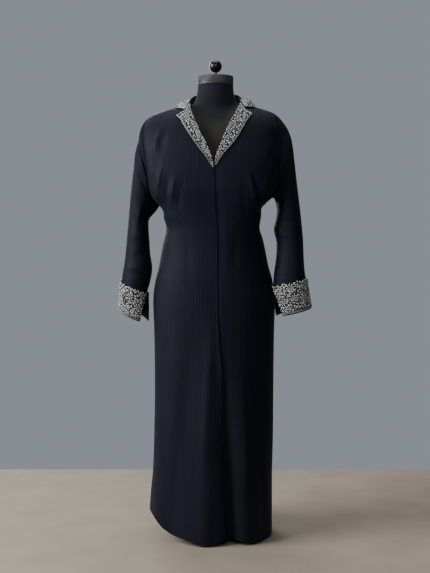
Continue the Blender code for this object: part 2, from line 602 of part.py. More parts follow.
def sleeve_grid(table, side, stations):
    """Points of a sleeve at these stations, going round from its seam edge in front to that behind."""
    data = columns(table)
    rows = np.arange(len(table) - 1)
    grid = []
    for station in stations:
        at = {name: float(smooth(station, rows, values)) for name, values in data.items()}
        inner = np.array([side * at["in_x"], -at["forward"], at["in_z"]])
        outer = np.array([side * at["out_x"], -at["forward"], at["out_z"]])
        line = []
        for back, (on_seam, on_chord, climb, _, _) in sleeve_columns(side):
            climb = climb if back else at["slit"] + (1 - at["slit"]) * climb
            base = inner + (outer - inner) * (1 - math.cos(math.pi * climb)) / 2
            depth = (1 if back else -1) * at["half_depth"] * math.sin(math.pi * climb)
            kept = at["armhole"]
            free = np.array([0.0, depth, at["droop"] * (1 if back else -1) * math.sin(math.pi * climb)])
            line.append(base + kept * (on_seam - on_chord) + (1 - kept) * free)
        grid.append(line)
    return np.array(grid)


def sleeve_columns(side):
    """The armhole's points, each once: the front's and back's shoulder tips are one column."""
    found = [(back, seam) for (back, station), seam in armhole(side).items()]
    tip = [i for i, (back, seam) in enumerate(found) if back][0]
    return found[:tip] + found[tip + 1 :]


def make_sleeve(name, table, side, group):
    stations = np.linspace(0, len(table) - 2, SLEEVE_ROWS + 1)
    points = sleeve_grid(table, side, stations)
    normals = outward(points, points.mean(axis=1, keepdims=True))
    for j, (_, (_, _, _, across, out)) in enumerate(sleeve_columns(side)):
        normals[0, j] = out
        points[0, j] += across * SEAM
    # The two edges meet along the sleeve's own seam, a gap apart, and share one direction there.
    for i in np.flatnonzero(stations < CUFF_ROW - 0.5):
        normals[i, 0] = normals[i, -1] = unit(normals[i, 0] + normals[i, -1])
        points[i, 0, 1] -= SEAM / 2
        points[i, -1, 1] += SEAM / 2
    return sheet(name, points, normals, CLOTH, CREPE, group)


def make_cuff(name, table, side, group):
    """The cuff lies outside the sleeve's end and flares a little towards its upper edge."""
    end = len(table) - 2 - CUFF_RISE / CUFF_ROW_HEIGHT
    stations = np.linspace(CUFF_ROW, end, CUFF_ROWS + 1)
    points = sleeve_grid(table, side, stations)
    normals = outward(points, points.mean(axis=1, keepdims=True))
    flare = np.linspace(1, 0, CUFF_ROWS + 1)[:, None, None] * CUFF_FLARE
    points = points + normals * (2 * SEAM + TRIM + flare)
    return sheet(name, points, normals, TRIM, BROCADE, group)


# ---------------------------------------------------------------- collar


def make_collar(group):
    """The black stand rises from the neckline to the fold, and the brocade falls from it outside."""
    data = columns(COLLAR)
    knots, shares = np.linspace(0, 1, len(COLLAR) - 1), np.linspace(0, 1, COLLAR_LENGTHS + 1)
    at = {name: smooth(shares, knots, values) for name, values in data.items()}
    seam, crest, edge = (
        np.stack([at[f"{part}_{axis}"] for axis in "xyz"], axis=1) for part in ("seam", "fold", "edge")
    )
    rise = np.linspace(0, 1, STAND_RINGS + 1)[:, None, None]
    stand = seam + (crest - seam) * rise
    stand_normals = outward(stand, np.array([0.0, 0.01, 1.45]))
    stand_wall = sheet("collar_stand", stand, stand_normals, CLOTH, CREPE, group)

    # The fall turns over the stand's top edge in its first two rings.
    out = np.linspace(0, 1, FALL_RINGS)[:, None, None]
    start = crest + stand_normals[-1] * (TRIM + 3 * SEAM) + np.array([0.0, 0.0, 4 * SEAM])
    fall = start + (edge - start) * out
    up = unit(np.cross(np.gradient(fall, axis=1), np.gradient(fall, axis=0)))
    up = np.where(up[..., 2:] < 0, -up, up)
    fall = fall + up * at["arch"][None, :, None] * np.sin(math.pi * out)
    notch = np.minimum(out / NOTCH_SHARE, (1 - out) / (1 - NOTCH_SHARE))
    outer_side = np.sign(at["edge_x"])[None, :, None] * np.array([1.0, 0.0, 0.0]) + np.array([0.0, 1.0, 1.0])
    fall = fall + notch * at["dip"][None, :, None] * outer_side * np.array(NOTCH_DIP)
    over = crest - stand_normals[-1] * CLOTH + np.array([0.0, 0.0, TRIM + 5 * SEAM])
    fall = np.concatenate([over[None], fall])
    fall_normals = outward(fall, np.array([0.0, 0.01, 1.30]))
    fall_normals[0] = (0.0, 0.0, 1.0)
    fall_normals[1] = unit(stand_normals[-1] + np.array([0.0, 0.0, 1.0]))
    fall_wall = sheet("collar_fall", fall, fall_normals, TRIM, BROCADE, group)
    return stand_wall, fall_wall


# ---------------------------------------------------------------- dress form


def make_torso(group):
    """The covered body of the form: one smooth closed shape from the hips to the top of the neck."""
    data = columns(TORSO)
    rows = np.arange(len(TORSO) - 1)
    bm = bmesh.new()
    bmesh.ops.create_uvsphere(bm, u_segments=TORSO_SIDES, v_segments=TORSO_RINGS + 2, radius=1.0)
    for vert in bm.verts:
        x, y, z = vert.co
        pole = math.hypot(x, y) < 1e-4
        ring = (math.acos(max(-1.0, min(1.0, -z))) / math.pi) * (TORSO_RINGS + 2)
        station = np.clip((ring - 1) / TORSO_RINGS, 0, 1) * rows[-1]
        at = {name: float(smooth(station, rows, values)) for name, values in data.items()}
        turn = math.atan2(y, x)
        power = 2 / at["square"]
        reach = 0.0 if pole else 1.0
        depth = at["back"] if y > 0 else at["front"]
        vert.co.x = reach * at["half"] * math.copysign(abs(math.cos(turn)) ** power, math.cos(turn))
        vert.co.y = reach * depth * math.copysign(abs(math.sin(turn)) ** power, math.sin(turn))
        vert.co.z = at["z"]
    mesh = bpy.data.meshes.new("form_torso")
    bm.to_mesh(mesh)
    bm.free()
    return finish(bpy.data.objects.new("form_torso", mesh), JERSEY, group)


def turned(name, profile, finish_of, group, sides=ROUND_SIDES):
    """A shape turned about the Z axis. The profile is (radius, height) pairs from top to bottom."""
    bm = bmesh.new()
    verts = [bm.verts.new((radius, 0.0, height)) for radius, height in profile]
    for a, b in zip(verts, verts[1:]):
        bm.edges.new((a, b))
    mesh = bpy.data.meshes.new(name)
    bm.to_mesh(mesh)
    bm.free()
    item = finish(bpy.data.objects.new(name, mesh), finish_of, group)
    screw = item.modifiers.new("Screw", "SCREW")
    screw.steps = screw.render_steps = sides
    screw.use_merge_vertices = True
    screw.merge_threshold = 0.00005
    screw.use_smooth_shade = True
    return item


def make_stand(group):
    """Neck cap, knob, pole and foot of the form."""
    neck = columns(TORSO)
    top = neck["z"][-1]
    cap_low, cap_high = top + SEAM, top + SEAM + CAP_HEIGHT
    bm = bmesh.new()
    bmesh.ops.create_cone(
        bm, cap_ends=True, segments=ROUND_SIDES, radius1=1.0, radius2=1.0, depth=cap_high - cap_low
    )
    depth = (neck["front"][-1] + neck["back"][-1]) / 2
    for vert in bm.verts:
        vert.co.x *= neck["half"][-1] + 0.0003
        vert.co.y = vert.co.y * depth + (neck["back"][-1] - neck["front"][-1]) / 2
        vert.co.z += (cap_high + cap_low) / 2
    mesh = bpy.data.meshes.new("neck_cap")
    bm.to_mesh(mesh)
    bm.free()
    cap = finish(bpy.data.objects.new("neck_cap", mesh), PEWTER, group)
    bevel = cap.modifiers.new("Bevel", "BEVEL")
    bevel.width, bevel.segments, bevel.limit_method = CAP_EDGE, 2, "ANGLE"

    base = cap_high + SEAM
    centre = cap_high + KNOB_HEIGHT
    start = math.asin(STEM_RADIUS / KNOB_RADIUS)
    turns = np.linspace(0, math.pi - start, KNOB_POINTS)
    profile = [(KNOB_RADIUS * math.sin(a), centre + KNOB_RADIUS * math.cos(a)) for a in turns]
    profile += [(STEM_RADIUS, base + 0.003), (0.008, base + 0.002), (0.0085, base), (0.0, base)]
    turned("knob", profile, BLACK_KNOB, group, sides=SMALL_SIDES)

    plate = [
        (0.0, HUB_HEIGHT),
        (HUB_RADIUS - 0.004, HUB_HEIGHT),
        (HUB_RADIUS, HUB_HEIGHT - 0.004),
        (HUB_RADIUS, FOOT_CROWN + 0.006),
        (HUB_RADIUS + 0.008, FOOT_CROWN),
        (FOOT_RADIUS - 0.010, FOOT_EDGE + 0.003),
        (FOOT_RADIUS, FOOT_EDGE - 0.002),
        (FOOT_RADIUS, 0.002),
        (FOOT_RADIUS - 0.002, 0.0),
        (0.0, 0.0),
    ]
    turned("foot", plate, STEEL, group)
    low, high = HUB_HEIGHT + SEAM, neck["z"][0] - SEAM
    pole = [(0.0, high), (POLE_RADIUS, high), (POLE_RADIUS, low), (0.0, low)]
    turned("pole", pole, STEEL, group, sides=SMALL_SIDES)


def main():
    for item in list(bpy.data.objects):
        bpy.data.objects.remove(item, do_unlink=True)
    group = bpy.data.collections.new("abaya_on_dress_form")
    bpy.context.scene.collection.children.link(group)
    make_back(group)
    make_right_front(group)
    make_left_front(group)
    make_lapel("lapel_right", "over_x", BREAK_Z, group)
    make_lapel("lapel_left", "under_x", BREAK_Z + UNDER_LAPEL_STEP, group)
    for name, table, side in (("right", RIGHT_SLEEVE, -1), ("left", LEFT_SLEEVE, 1)):
        make_sleeve(f"sleeve_{name}", table, side, group)
        make_cuff(f"cuff_{name}", table, side, group)
    make_collar(group)
    make_torso(group)
    make_stand(group)


main()
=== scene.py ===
"""Looks of a black ribbed-crepe abaya with embroidered lapels, collar and cuffs, on a limbless dress form.

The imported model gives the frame. Each cloth piece is laid out on the same garment surface as its solid,
from the same named sizes and tables, only finer, and then gets the creases, seams, stitches and
embroidery of the sewn thing. Units are metres; +Z is up, the cloak's front faces -Y and the wearer's
left is +X.
"""

import math
import random

import bmesh
import bpy
import numpy as np
from mathutils import Matrix, Vector


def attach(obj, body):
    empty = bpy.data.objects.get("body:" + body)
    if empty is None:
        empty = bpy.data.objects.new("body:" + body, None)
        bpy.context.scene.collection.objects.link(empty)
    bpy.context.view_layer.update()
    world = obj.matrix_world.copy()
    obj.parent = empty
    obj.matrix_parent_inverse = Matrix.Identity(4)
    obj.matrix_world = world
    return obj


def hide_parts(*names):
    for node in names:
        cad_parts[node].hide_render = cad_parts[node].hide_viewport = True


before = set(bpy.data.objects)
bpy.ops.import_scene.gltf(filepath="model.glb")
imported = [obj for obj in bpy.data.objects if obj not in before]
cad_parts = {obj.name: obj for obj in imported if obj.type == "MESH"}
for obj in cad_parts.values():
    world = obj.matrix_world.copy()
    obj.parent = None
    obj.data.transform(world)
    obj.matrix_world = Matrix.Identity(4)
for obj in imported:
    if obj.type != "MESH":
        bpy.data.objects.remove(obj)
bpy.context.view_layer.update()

# Driving sizes of the cut and the hang.
CLOTH = 0.0015  # wall of the ribbed crepe
TRIM = 0.002  # wall of the brocade on lapels, collar and cuffs, with its interfacing
SEAM = 0.0003  # gap between two pieces at a seam, or between two layers
OVERLAP_RISE = 0.030  # width over which the left front sinks under the right one
UNDERLAP_TOP = 0.030  # height over which it comes up again at the break of the lapels
UNDERLAP_GAP = 0.0015  # gap between the two fronts there
LOOSE_UNDERLAP = 0.004  # how much further apart they hang down the skirt
LOOSE_FROM, LOOSE_RISE = 0.80, 0.15  # below this height, and over this much of it
LAPEL_ROLL = 0.004  # how far a lapel stands off the front along its fold
LAPEL_LIE = 0.0012  # the same at its free edge
CUFF_FLARE = 0.003  # how far the turned-back cuff stands off the sleeve at its upper edge
CUFF_RISE = 0.0035  # how much sleeve shows below the cuff
HEM_FADE = 0.50  # height over which the hem's unevenness dies out

# The skirt, a row for each level: its height, its half widths on the wearer's right and left, and its
# depths before and behind.
SKIRT = (
    "z right left front back",
    (0.004, 0.220, 0.189, 0.164, 0.196),
    (0.090, 0.216, 0.189, 0.161, 0.190),
    (0.200, 0.208, 0.189, 0.156, 0.182),
    (0.330, 0.204, 0.192, 0.151, 0.173),
    (0.460, 0.202, 0.193, 0.147, 0.165),
    (0.590, 0.203, 0.194, 0.143, 0.158),
    (0.700, 0.205, 0.196, 0.140, 0.153),
    (0.780, 0.206, 0.198, 0.138, 0.149),
    (0.845, 0.200, 0.191, 0.136, 0.144),
    (0.900, 0.188, 0.176, 0.134, 0.134),
    (0.950, 0.179, 0.166, 0.132, 0.122),
)
# The cloak's body from hem to shoulder, a row for each level; those of the skirt are flat and share one
# squareness. side_z and mid_z are the heights at the side seam or armhole and at the middle, and tilt is
# how much higher the level lies on the wearer's left and lower on the right. right and left are the half
# widths; the edge columns are how far the armhole stands before and behind the side line; front and back
# are the depths at the middle, and the square columns say how boxy the plan is (2 is an ellipse).
BODY = (
    "side_z mid_z tilt right left front_edge back_edge front back front_square back_square",
    *(
        (z, z, 0.0, right, left, 0.0, 0.0, front, back, 2.3, 2.3)
        for z, right, left, front, back in SKIRT[1:]
    ),
    (0.990, 0.990, 0.000, 0.171, 0.157, 0.000, 0.000, 0.131, 0.112, 2.5, 2.3),
    (1.025, 1.025, 0.000, 0.163, 0.146, 0.000, 0.000, 0.131, 0.106, 2.9, 2.5),
    (1.060, 1.060, 0.003, 0.171, 0.151, 0.000, 0.000, 0.133, 0.105, 3.4, 2.8),
    (1.088, 1.090, 0.008, 0.173, 0.156, 0.000, 0.000, 0.136, 0.107, 3.8, 3.1),
    (1.113, 1.118, 0.012, 0.187, 0.186, 0.000, 0.000, 0.139, 0.111, 3.7, 3.3),
    (1.133, 1.145, 0.008, 0.209, 0.197, 0.034, 0.036, 0.142, 0.115, 3.2, 3.1),
    (1.166, 1.182, 0.004, 0.219, 0.201, 0.056, 0.060, 0.142, 0.118, 2.9, 2.8),
    (1.210, 1.228, 0.002, 0.223, 0.203, 0.065, 0.072, 0.140, 0.119, 2.6, 2.6),
    (1.265, 1.284, 0.001, 0.231, 0.204, 0.064, 0.077, 0.130, 0.118, 2.6, 2.4),
    (1.318, 1.340, 0.001, 0.236, 0.206, 0.054, 0.071, 0.112, 0.113, 2.5, 2.2),
    (1.356, 1.384, 0.002, 0.233, 0.208, 0.042, 0.059, 0.090, 0.106, 2.4, 2.1),
    (1.383, 1.417, 0.003, 0.223, 0.205, 0.028, 0.043, 0.064, 0.096, 2.2, 2.0),
    (1.400, 1.438, 0.003, 0.211, 0.198, 0.013, 0.023, 0.034, 0.085, 2.0, 2.0),
    (1.406, 1.449, 0.003, 0.203, 0.190, 0.000, 0.000, 0.004, 0.076, 2.0, 2.0),
)
UNDERARM_ROW = 15  # the row of BODY where side seam and armhole meet
CLOSING_ROWS = 3.2  # how many rows the back takes to close from the shoulder blades to the neckline
NECK_HALF = 0.083  # half the width of the neckline at the shoulder seams
NECK_DIP = 0.016  # how far the neckline sags behind the neck
SHOULDER_BEND = 1.75  # how the height falls from the neck to the shoulder tip

# Where each front ends towards the middle, by height: the roll line of its lapel, and below the break
# its front edge. over_x is the right front, which lies on top, and under_x the left front.
FRONT_EDGES = (
    "z over_x under_x",
    (0.000, 0.042, -0.008),
    (0.250, 0.030, -0.020),
    (0.370, 0.022, -0.028),
    (0.530, 0.020, -0.030),
    (0.690, 0.009, -0.041),
    (0.820, 0.006, -0.044),
    (0.950, 0.006, -0.044),
    (1.050, 0.002, -0.048),
    (1.130, -0.002, -0.048),
    (1.174, -0.004, -0.030),
    (1.215, -0.0060, -0.0060),
    (1.247, -0.013, 0.001),
    (1.290, -0.029, 0.015),
    (1.328, -0.048, 0.030),
    (1.354, -0.059, 0.042),
    (1.380, -0.069, 0.055),
    (1.410, -0.078, 0.068),
    (1.449, -0.083, 0.083),
)

# Free edge of each lapel by the height of its level: how far it lies from the middle.
LAPEL_EDGES = (
    "z over_x under_x",
    (1.215, -0.0098, -0.0016),
    (1.251, -0.0327, 0.0200),
    (1.287, -0.0595, 0.0500),
    (1.309, -0.0740, 0.0661),
    (1.350, -0.0980, 0.0885),
    (1.380, -0.1130, 0.1035),
    (1.402, -0.1280, 0.1180),
)
# The lapels' upper edge, across from the roll line (0) to the free corner (1), by the height of its level.
LAPEL_TOPS = (
    "share over_z under_z",
    (0.0, 1.4430, 1.4430),
    (0.4, 1.4180, 1.4220),
    (1.0, 1.3995, 1.4045),
)
BREAK_Z = 1.215  # where the lapels part
UNDER_LAPEL_STEP = 0.008  # the left lapel starts this much above it
MIDDLE = np.array([0.0, 0.0, 0.9])  # a point inside the cloak, by which its cloth knows its outer side

# Uneven hem: how far it is lifted off the floor before and behind, by distance across.
HEM = (
    "x front_lift back_lift",
    (-0.222, 0.088, 0.088),
    (-0.193, 0.070, 0.094),
    (-0.170, 0.042, 0.092),
    (-0.145, 0.026, 0.089),
    (-0.106, 0.017, 0.082),
    (-0.030, 0.000, 0.062),
    (0.046, 0.015, 0.046),
    (0.118, 0.003, 0.030),
    (0.165, 0.004, 0.016),
    (0.190, 0.008, 0.008),
)

# The largest folds, each a soft ridge (or a trough where height is negative) along a line on the front
# or the back. It reaches its full height at full_z, and dies out at ends_z.
FOLDS = (
    "back top_x top_z foot_x foot_z half_width height ends_z full_z",
    (0, -0.008, 0.70, -0.034, 0.05, 0.034, 0.010, 0.82, 0.30),
    (0, -0.078, 0.66, -0.132, 0.10, 0.030, -0.008, 0.80, 0.35),
    (0, -0.178, 0.53, -0.186, 0.10, 0.016, 0.006, 0.66, 0.40),
    (0, 0.030, 0.62, 0.053, 0.02, 0.022, -0.026, 0.66, 0.02),
    (0, 0.074, 0.65, 0.114, 0.02, 0.036, 0.006, 0.80, 0.30),
    (0, 0.120, 0.60, 0.160, 0.05, 0.016, -0.005, 0.72, 0.30),
    (1, -0.010, 0.90, 0.020, 0.05, 0.034, -0.022, 0.98, 0.30),
    (1, -0.070, 0.84, -0.086, 0.05, 0.030, 0.016, 0.94, 0.30),
    (1, -0.120, 0.80, -0.150, 0.05, 0.026, -0.016, 0.90, 0.30),
    (1, 0.064, 0.86, 0.092, 0.05, 0.030, 0.014, 0.94, 0.30),
    (1, 0.118, 0.78, 0.146, 0.05, 0.022, -0.013, 0.88, 0.30),
)
FOLD_CLEAR = 0.020  # folds die out over this distance from an armhole or a side seam
UNDERARM_NORMAL = (0.73, -0.68)  # which way the cloth faces at the underarm, sideways and up
TIP_NORMAL = (0.48, 0.87)  # the same at the shoulder tip
NECK_NORMAL = (0.25, 0.97)  # the same where the shoulder seam meets the neckline
ARMHOLE_TURN = 0.75  # the same half way up an armhole, sideways and to the front or back

# Sleeves from armhole to hem, a row for each section: its outer and inner end seen from the front, how
# deep it is, how far forward it hangs, how much lower its front is than its back, how much it keeps of
# the armhole's own shape, and how far the slit at the cuff is open, as a share of the front half.
SLEEVE_COLUMNS = "out_x out_z in_x in_z half_depth forward droop armhole slit"
RIGHT_SLEEVE = (
    SLEEVE_COLUMNS,
    (0.203, 1.403, 0.187, 1.101, 0.070, 0.000, 0.000, 1.00, 0.00),
    (0.226, 1.386, 0.190, 1.096, 0.070, 0.000, 0.000, 0.86, 0.00),
    (0.239, 1.350, 0.193, 1.091, 0.068, 0.000, 0.000, 0.66, 0.00),
    (0.257, 1.306, 0.200, 1.081, 0.065, 0.000, 0.000, 0.44, 0.00),
    (0.2675, 1.252, 0.211, 1.069, 0.062, 0.001, 0.000, 0.24, 0.00),
    (0.278, 1.186, 0.2225, 1.053, 0.058, 0.002, 0.000, 0.10, 0.00),
    (0.285, 1.116, 0.2245, 1.026, 0.055, 0.004, 0.000, 0.00, 0.00),
    (0.2905, 1.046, 0.2215, 0.988, 0.053, 0.008, 0.000, 0.00, 0.00),
    (0.296, 0.976, 0.218, 0.940, 0.051, 0.012, 0.000, 0.00, 0.00),
    (0.302, 0.914, 0.211, 0.892, 0.049, 0.016, 0.001, 0.00, 0.00),
    (0.3085, 0.876, 0.218, 0.846, 0.047, 0.018, 0.003, 0.00, 0.00),
    (0.311, 0.850, 0.228, 0.808, 0.046, 0.019, 0.005, 0.00, 0.12),
    (0.315, 0.805, 0.226, 0.764, 0.045, 0.020, 0.008, 0.00, 0.26),
    (0.319, 0.755, 0.2255, 0.714, 0.044, 0.021, 0.010, 0.00, 0.34),
)
LEFT_SLEEVE = (
    SLEEVE_COLUMNS,
    (0.190, 1.409, 0.186, 1.125, 0.070, 0.000, 0.000, 1.00, 0.00),
    (0.210, 1.391, 0.189, 1.1255, 0.070, 0.000, 0.000, 0.86, 0.00),
    (0.238, 1.352, 0.193, 1.1265, 0.068, 0.002, 0.000, 0.66, 0.00),
    (0.252, 1.308, 0.1975, 1.121, 0.065, 0.004, 0.000, 0.44, 0.00),
    (0.2605, 1.252, 0.2015, 1.106, 0.062, 0.008, 0.000, 0.24, 0.00),
    (0.2685, 1.186, 0.2035, 1.082, 0.058, 0.012, 0.000, 0.10, 0.00),
    (0.277, 1.116, 0.199, 1.050, 0.055, 0.018, 0.000, 0.00, 0.00),
    (0.284, 1.050, 0.1935, 1.018, 0.053, 0.026, 0.000, 0.00, 0.00),
    (0.289, 0.985, 0.202, 0.975, 0.051, 0.036, 0.000, 0.00, 0.00),
    (0.290, 0.930, 0.199, 0.920, 0.049, 0.048, 0.000, 0.00, 0.00),
    (0.292, 0.886, 0.192, 0.874, 0.047, 0.060, 0.000, 0.00, 0.00),
    (0.296, 0.856, 0.190, 0.832, 0.046, 0.066, 0.001, 0.00, 0.05),
    (0.3035, 0.812, 0.196, 0.786, 0.045, 0.070, 0.003, 0.00, 0.17),
    (0.3135, 0.762, 0.2015, 0.735, 0.044, 0.073, 0.004, 0.00, 0.26),
)
CUFF_ROW = 11  # the row of a sleeve's table where its cuff begins
CUFF_ROW_HEIGHT = 0.05  # distance between the last two rows of a sleeve's table

# The collar, a row for each section from its front end on the wearer's right, round the back, to that on
# the left: the seam at the neckline, the fold along its top, the free edge that lies on the shoulders,
# how far the fall arches between fold and edge, and how far it dips to the notch above the lapel.
COLLAR = (
    "seam_x seam_y seam_z fold_x fold_y fold_z edge_x edge_y edge_z arch dip",
    (-0.0812, -0.016, 1.4370, -0.0845, -0.0180, 1.4450, -0.1300, -0.0370, 1.4215, 0.002, 1.00),
    (-0.0812, -0.004, 1.4400, -0.0848, -0.0030, 1.4495, -0.1320, -0.0120, 1.4300, 0.003, 0.00),
    (-0.0800, 0.012, 1.4410, -0.0830, 0.0140, 1.4560, -0.1300, 0.0180, 1.4290, 0.004, 0.00),
    (-0.0680, 0.0440, 1.4385, -0.0715, 0.0480, 1.4700, -0.1080, 0.0620, 1.4145, 0.006, 0.00),
    (-0.0400, 0.0670, 1.4365, -0.0430, 0.0745, 1.4800, -0.0620, 0.0905, 1.4130, 0.008, 0.00),
    (0.0000, 0.0772, 1.4355, 0.0000, 0.0860, 1.4830, 0.0000, 0.1005, 1.4165, 0.008, 0.00),
    (0.0400, 0.0670, 1.4365, 0.0430, 0.0745, 1.4805, 0.0640, 0.0915, 1.4145, 0.009, 0.00),
    (0.0680, 0.0440, 1.4385, 0.0735, 0.0460, 1.4735, 0.1120, 0.0620, 1.4140, 0.010, 0.00),
    (0.0800, 0.012, 1.4410, 0.0820, 0.0140, 1.4630, 0.1315, 0.0200, 1.4295, 0.010, 0.00),
    (0.0812, -0.004, 1.4405, 0.0815, -0.0030, 1.4550, 0.1310, -0.0120, 1.4325, 0.007, 0.00),
    (0.0812, -0.016, 1.4375, 0.0800, -0.0180, 1.4460, 0.1295, -0.0340, 1.4235, 0.003, 0.80),
)
NOTCH_SHARE = 0.38  # where along the collar's front end its notch lies
NOTCH_DIP = (-0.0035, -0.036, -0.0240)  # and how far it lies out, before and below a straight line
STAND_CORE, FALL_CORE = (0.0, 0.01, 1.45), (0.0, 0.01, 1.30)  # points inside the stand and the fall

# The dress form, a row for each level: half width, depth before and behind, and squareness.
TORSO = (
    "z half front back square",
    (0.700, 0.150, 0.096, 0.104, 2.2),
    (0.760, 0.166, 0.104, 0.118, 2.2),
    (0.840, 0.172, 0.108, 0.126, 2.2),
    (0.920, 0.156, 0.104, 0.110, 2.1),
    (1.000, 0.131, 0.096, 0.088, 2.0),
    (1.040, 0.126, 0.096, 0.082, 2.0),
    (1.100, 0.137, 0.107, 0.085, 2.1),
    (1.160, 0.149, 0.120, 0.091, 2.2),
    (1.210, 0.155, 0.122, 0.096, 2.2),
    (1.260, 0.161, 0.112, 0.100, 2.2),
    (1.310, 0.170, 0.097, 0.100, 2.1),
    (1.350, 0.177, 0.080, 0.093, 2.0),
    (1.382, 0.172, 0.060, 0.078, 1.8),
    (1.402, 0.154, 0.048, 0.060, 1.6),
    (1.416, 0.130, 0.042, 0.048, 1.45),
    (1.428, 0.100, 0.041, 0.0425, 1.5),
    (1.4385, 0.077, 0.042, 0.0455, 1.8),
    (1.456, 0.066, 0.044, 0.050, 2.0),
    (1.480, 0.0605, 0.046, 0.050, 2.0),
    (1.500, 0.0592, 0.047, 0.049, 2.0),
)
CAP_HEIGHT = 0.030
CAP_OVERHANG = 0.0003  # how far the cap reaches past the neck
CAP_EDGE = 0.002  # rounding of its rims
KNOB_RADIUS = 0.021
KNOB_HEIGHT = 0.0337  # centre of the knob above the cap
KNOB_RINGS = 28
STEM_RADIUS = 0.0045
STEM_FLARE = ((0.0045, 0.003), (0.008, 0.002), (0.0085, 0.0))  # radius and height above the cap
POLE_RADIUS = 0.0125
HUB_HEIGHT = 0.060
# Radius and height of the foot, from the top of its hub to its underside.
FOOT_PROFILE = (
    (0.0, 0.060),
    (0.020, 0.060),
    (0.0228, 0.0588),
    (0.024, 0.056),
    (0.024, 0.022),
    (0.0265, 0.018),
    (0.032, 0.016),
    (0.085, 0.011),
    (0.092, 0.008),
    (0.095, 0.006),
    (0.095, 0.002),
    (0.093, 0.0),
    (0.0, 0.0),
)

# Sizes that only show in the finer cloth.
RIB_PITCH = 0.0063  # from one satin rib of the crepe to the next
SEAM_RISE = 0.0007  # how far a panel swells up beside its seams
SEAM_WIDTH = 0.006  # over this distance
PUCKER = 0.00035  # ripples of the cloth along a seam
PUCKER_PITCH = 0.013
PUCKER_REACH = 0.012
CORD_EDGE = 0.0012  # the cord lies this far in from a free edge
CORD_RADIUS = 0.0008
SECOND_CORD = 0.0050  # the thinner one inside it
SECOND_RADIUS = 0.0004
CORD_INSET = 0.0006  # how far short of a trim's ends the cords stop
CORD_STEP, SHORTEST_CORD = 0.002, 40  # distance between a cord's rings, and the fewest that it has
CORD_STAND = 0.6  # height of a cord's middle above the cloth, as a share of its radius
THREAD_PITCH = 0.00062  # from one satin stitch to the next
LOOP_PITCH = 0.0011  # from one loop of the jersey to the next
NECK_SHADE_HEIGHTS = (1.345, 1.385)  # heights between which the painted shade of the neck takes over from the chest's own colour
SHADE_EDGE_ROUND = 16.0  # how much its edge rises away from the middle, times the distance squared

# Patterns of the finishes: how large a grain or a cloud in them is.
CREPE_GRAIN, SATIN_GRAIN = 1 / 1400, 1 / 1100  # 0.7 and 0.9 mm
CREPE_CLOUD, JERSEY_CLOUD = 1 / 9, 1 / 14  # 111 and 71 mm
PATINA_CLOUD, LACQUER_PEEL, PAPER_CLOUD = 1 / 38, 1 / 260, 1 / 6  # 26, 3.8 and 167 mm
WAVE_PERIOD = math.tau / 20  # how far a wave texture of scale 1 goes before it repeats

# Flowers: the radius that one keeps to itself, how many are tried for each bloom, and the share that
# have scrolls.
FLOWERS = ((0.0120, 0.45, 0.4), (0.0082, 1.3, 0.0), (0.0060, 2.0, 0.0))
FLOWER_RIM = 0.90  # leaves may reach this far in between a flower's petals, as a share of its radius
FULL_FLOWER = 0.009  # larger flowers have two rings of petals
# Leaves and seeds: the same radius, their size, and how many are tried for each bloom.
LEAVES = ((0.0026, 0.0112, 100), (0.0020, 0.0084, 120), (0.0015, 0.0060, 110))
LEAF_ENDS = 0.30  # how far from its middle, as a share of its length, a leaf's ends are also kept apart
SEEDS = (0.0015, 0.0022, 40)
SEED_RIM = 0.0016  # how near anything comes to a seed
SCROLLS = ((1.0, 0.0010), (0.7, 0.0032))  # share of the sweep, and distance outside the flower
SCROLL_THREAD, SCROLL_CURL = 0.00062, 0.0026  # radius of their lines, and size of the curls at the ends
ARC_STEP = 0.22  # turn from one ring of such a line to the next, in radians
STITCH_UNIT = 0.006  # shapes larger than this get no taller

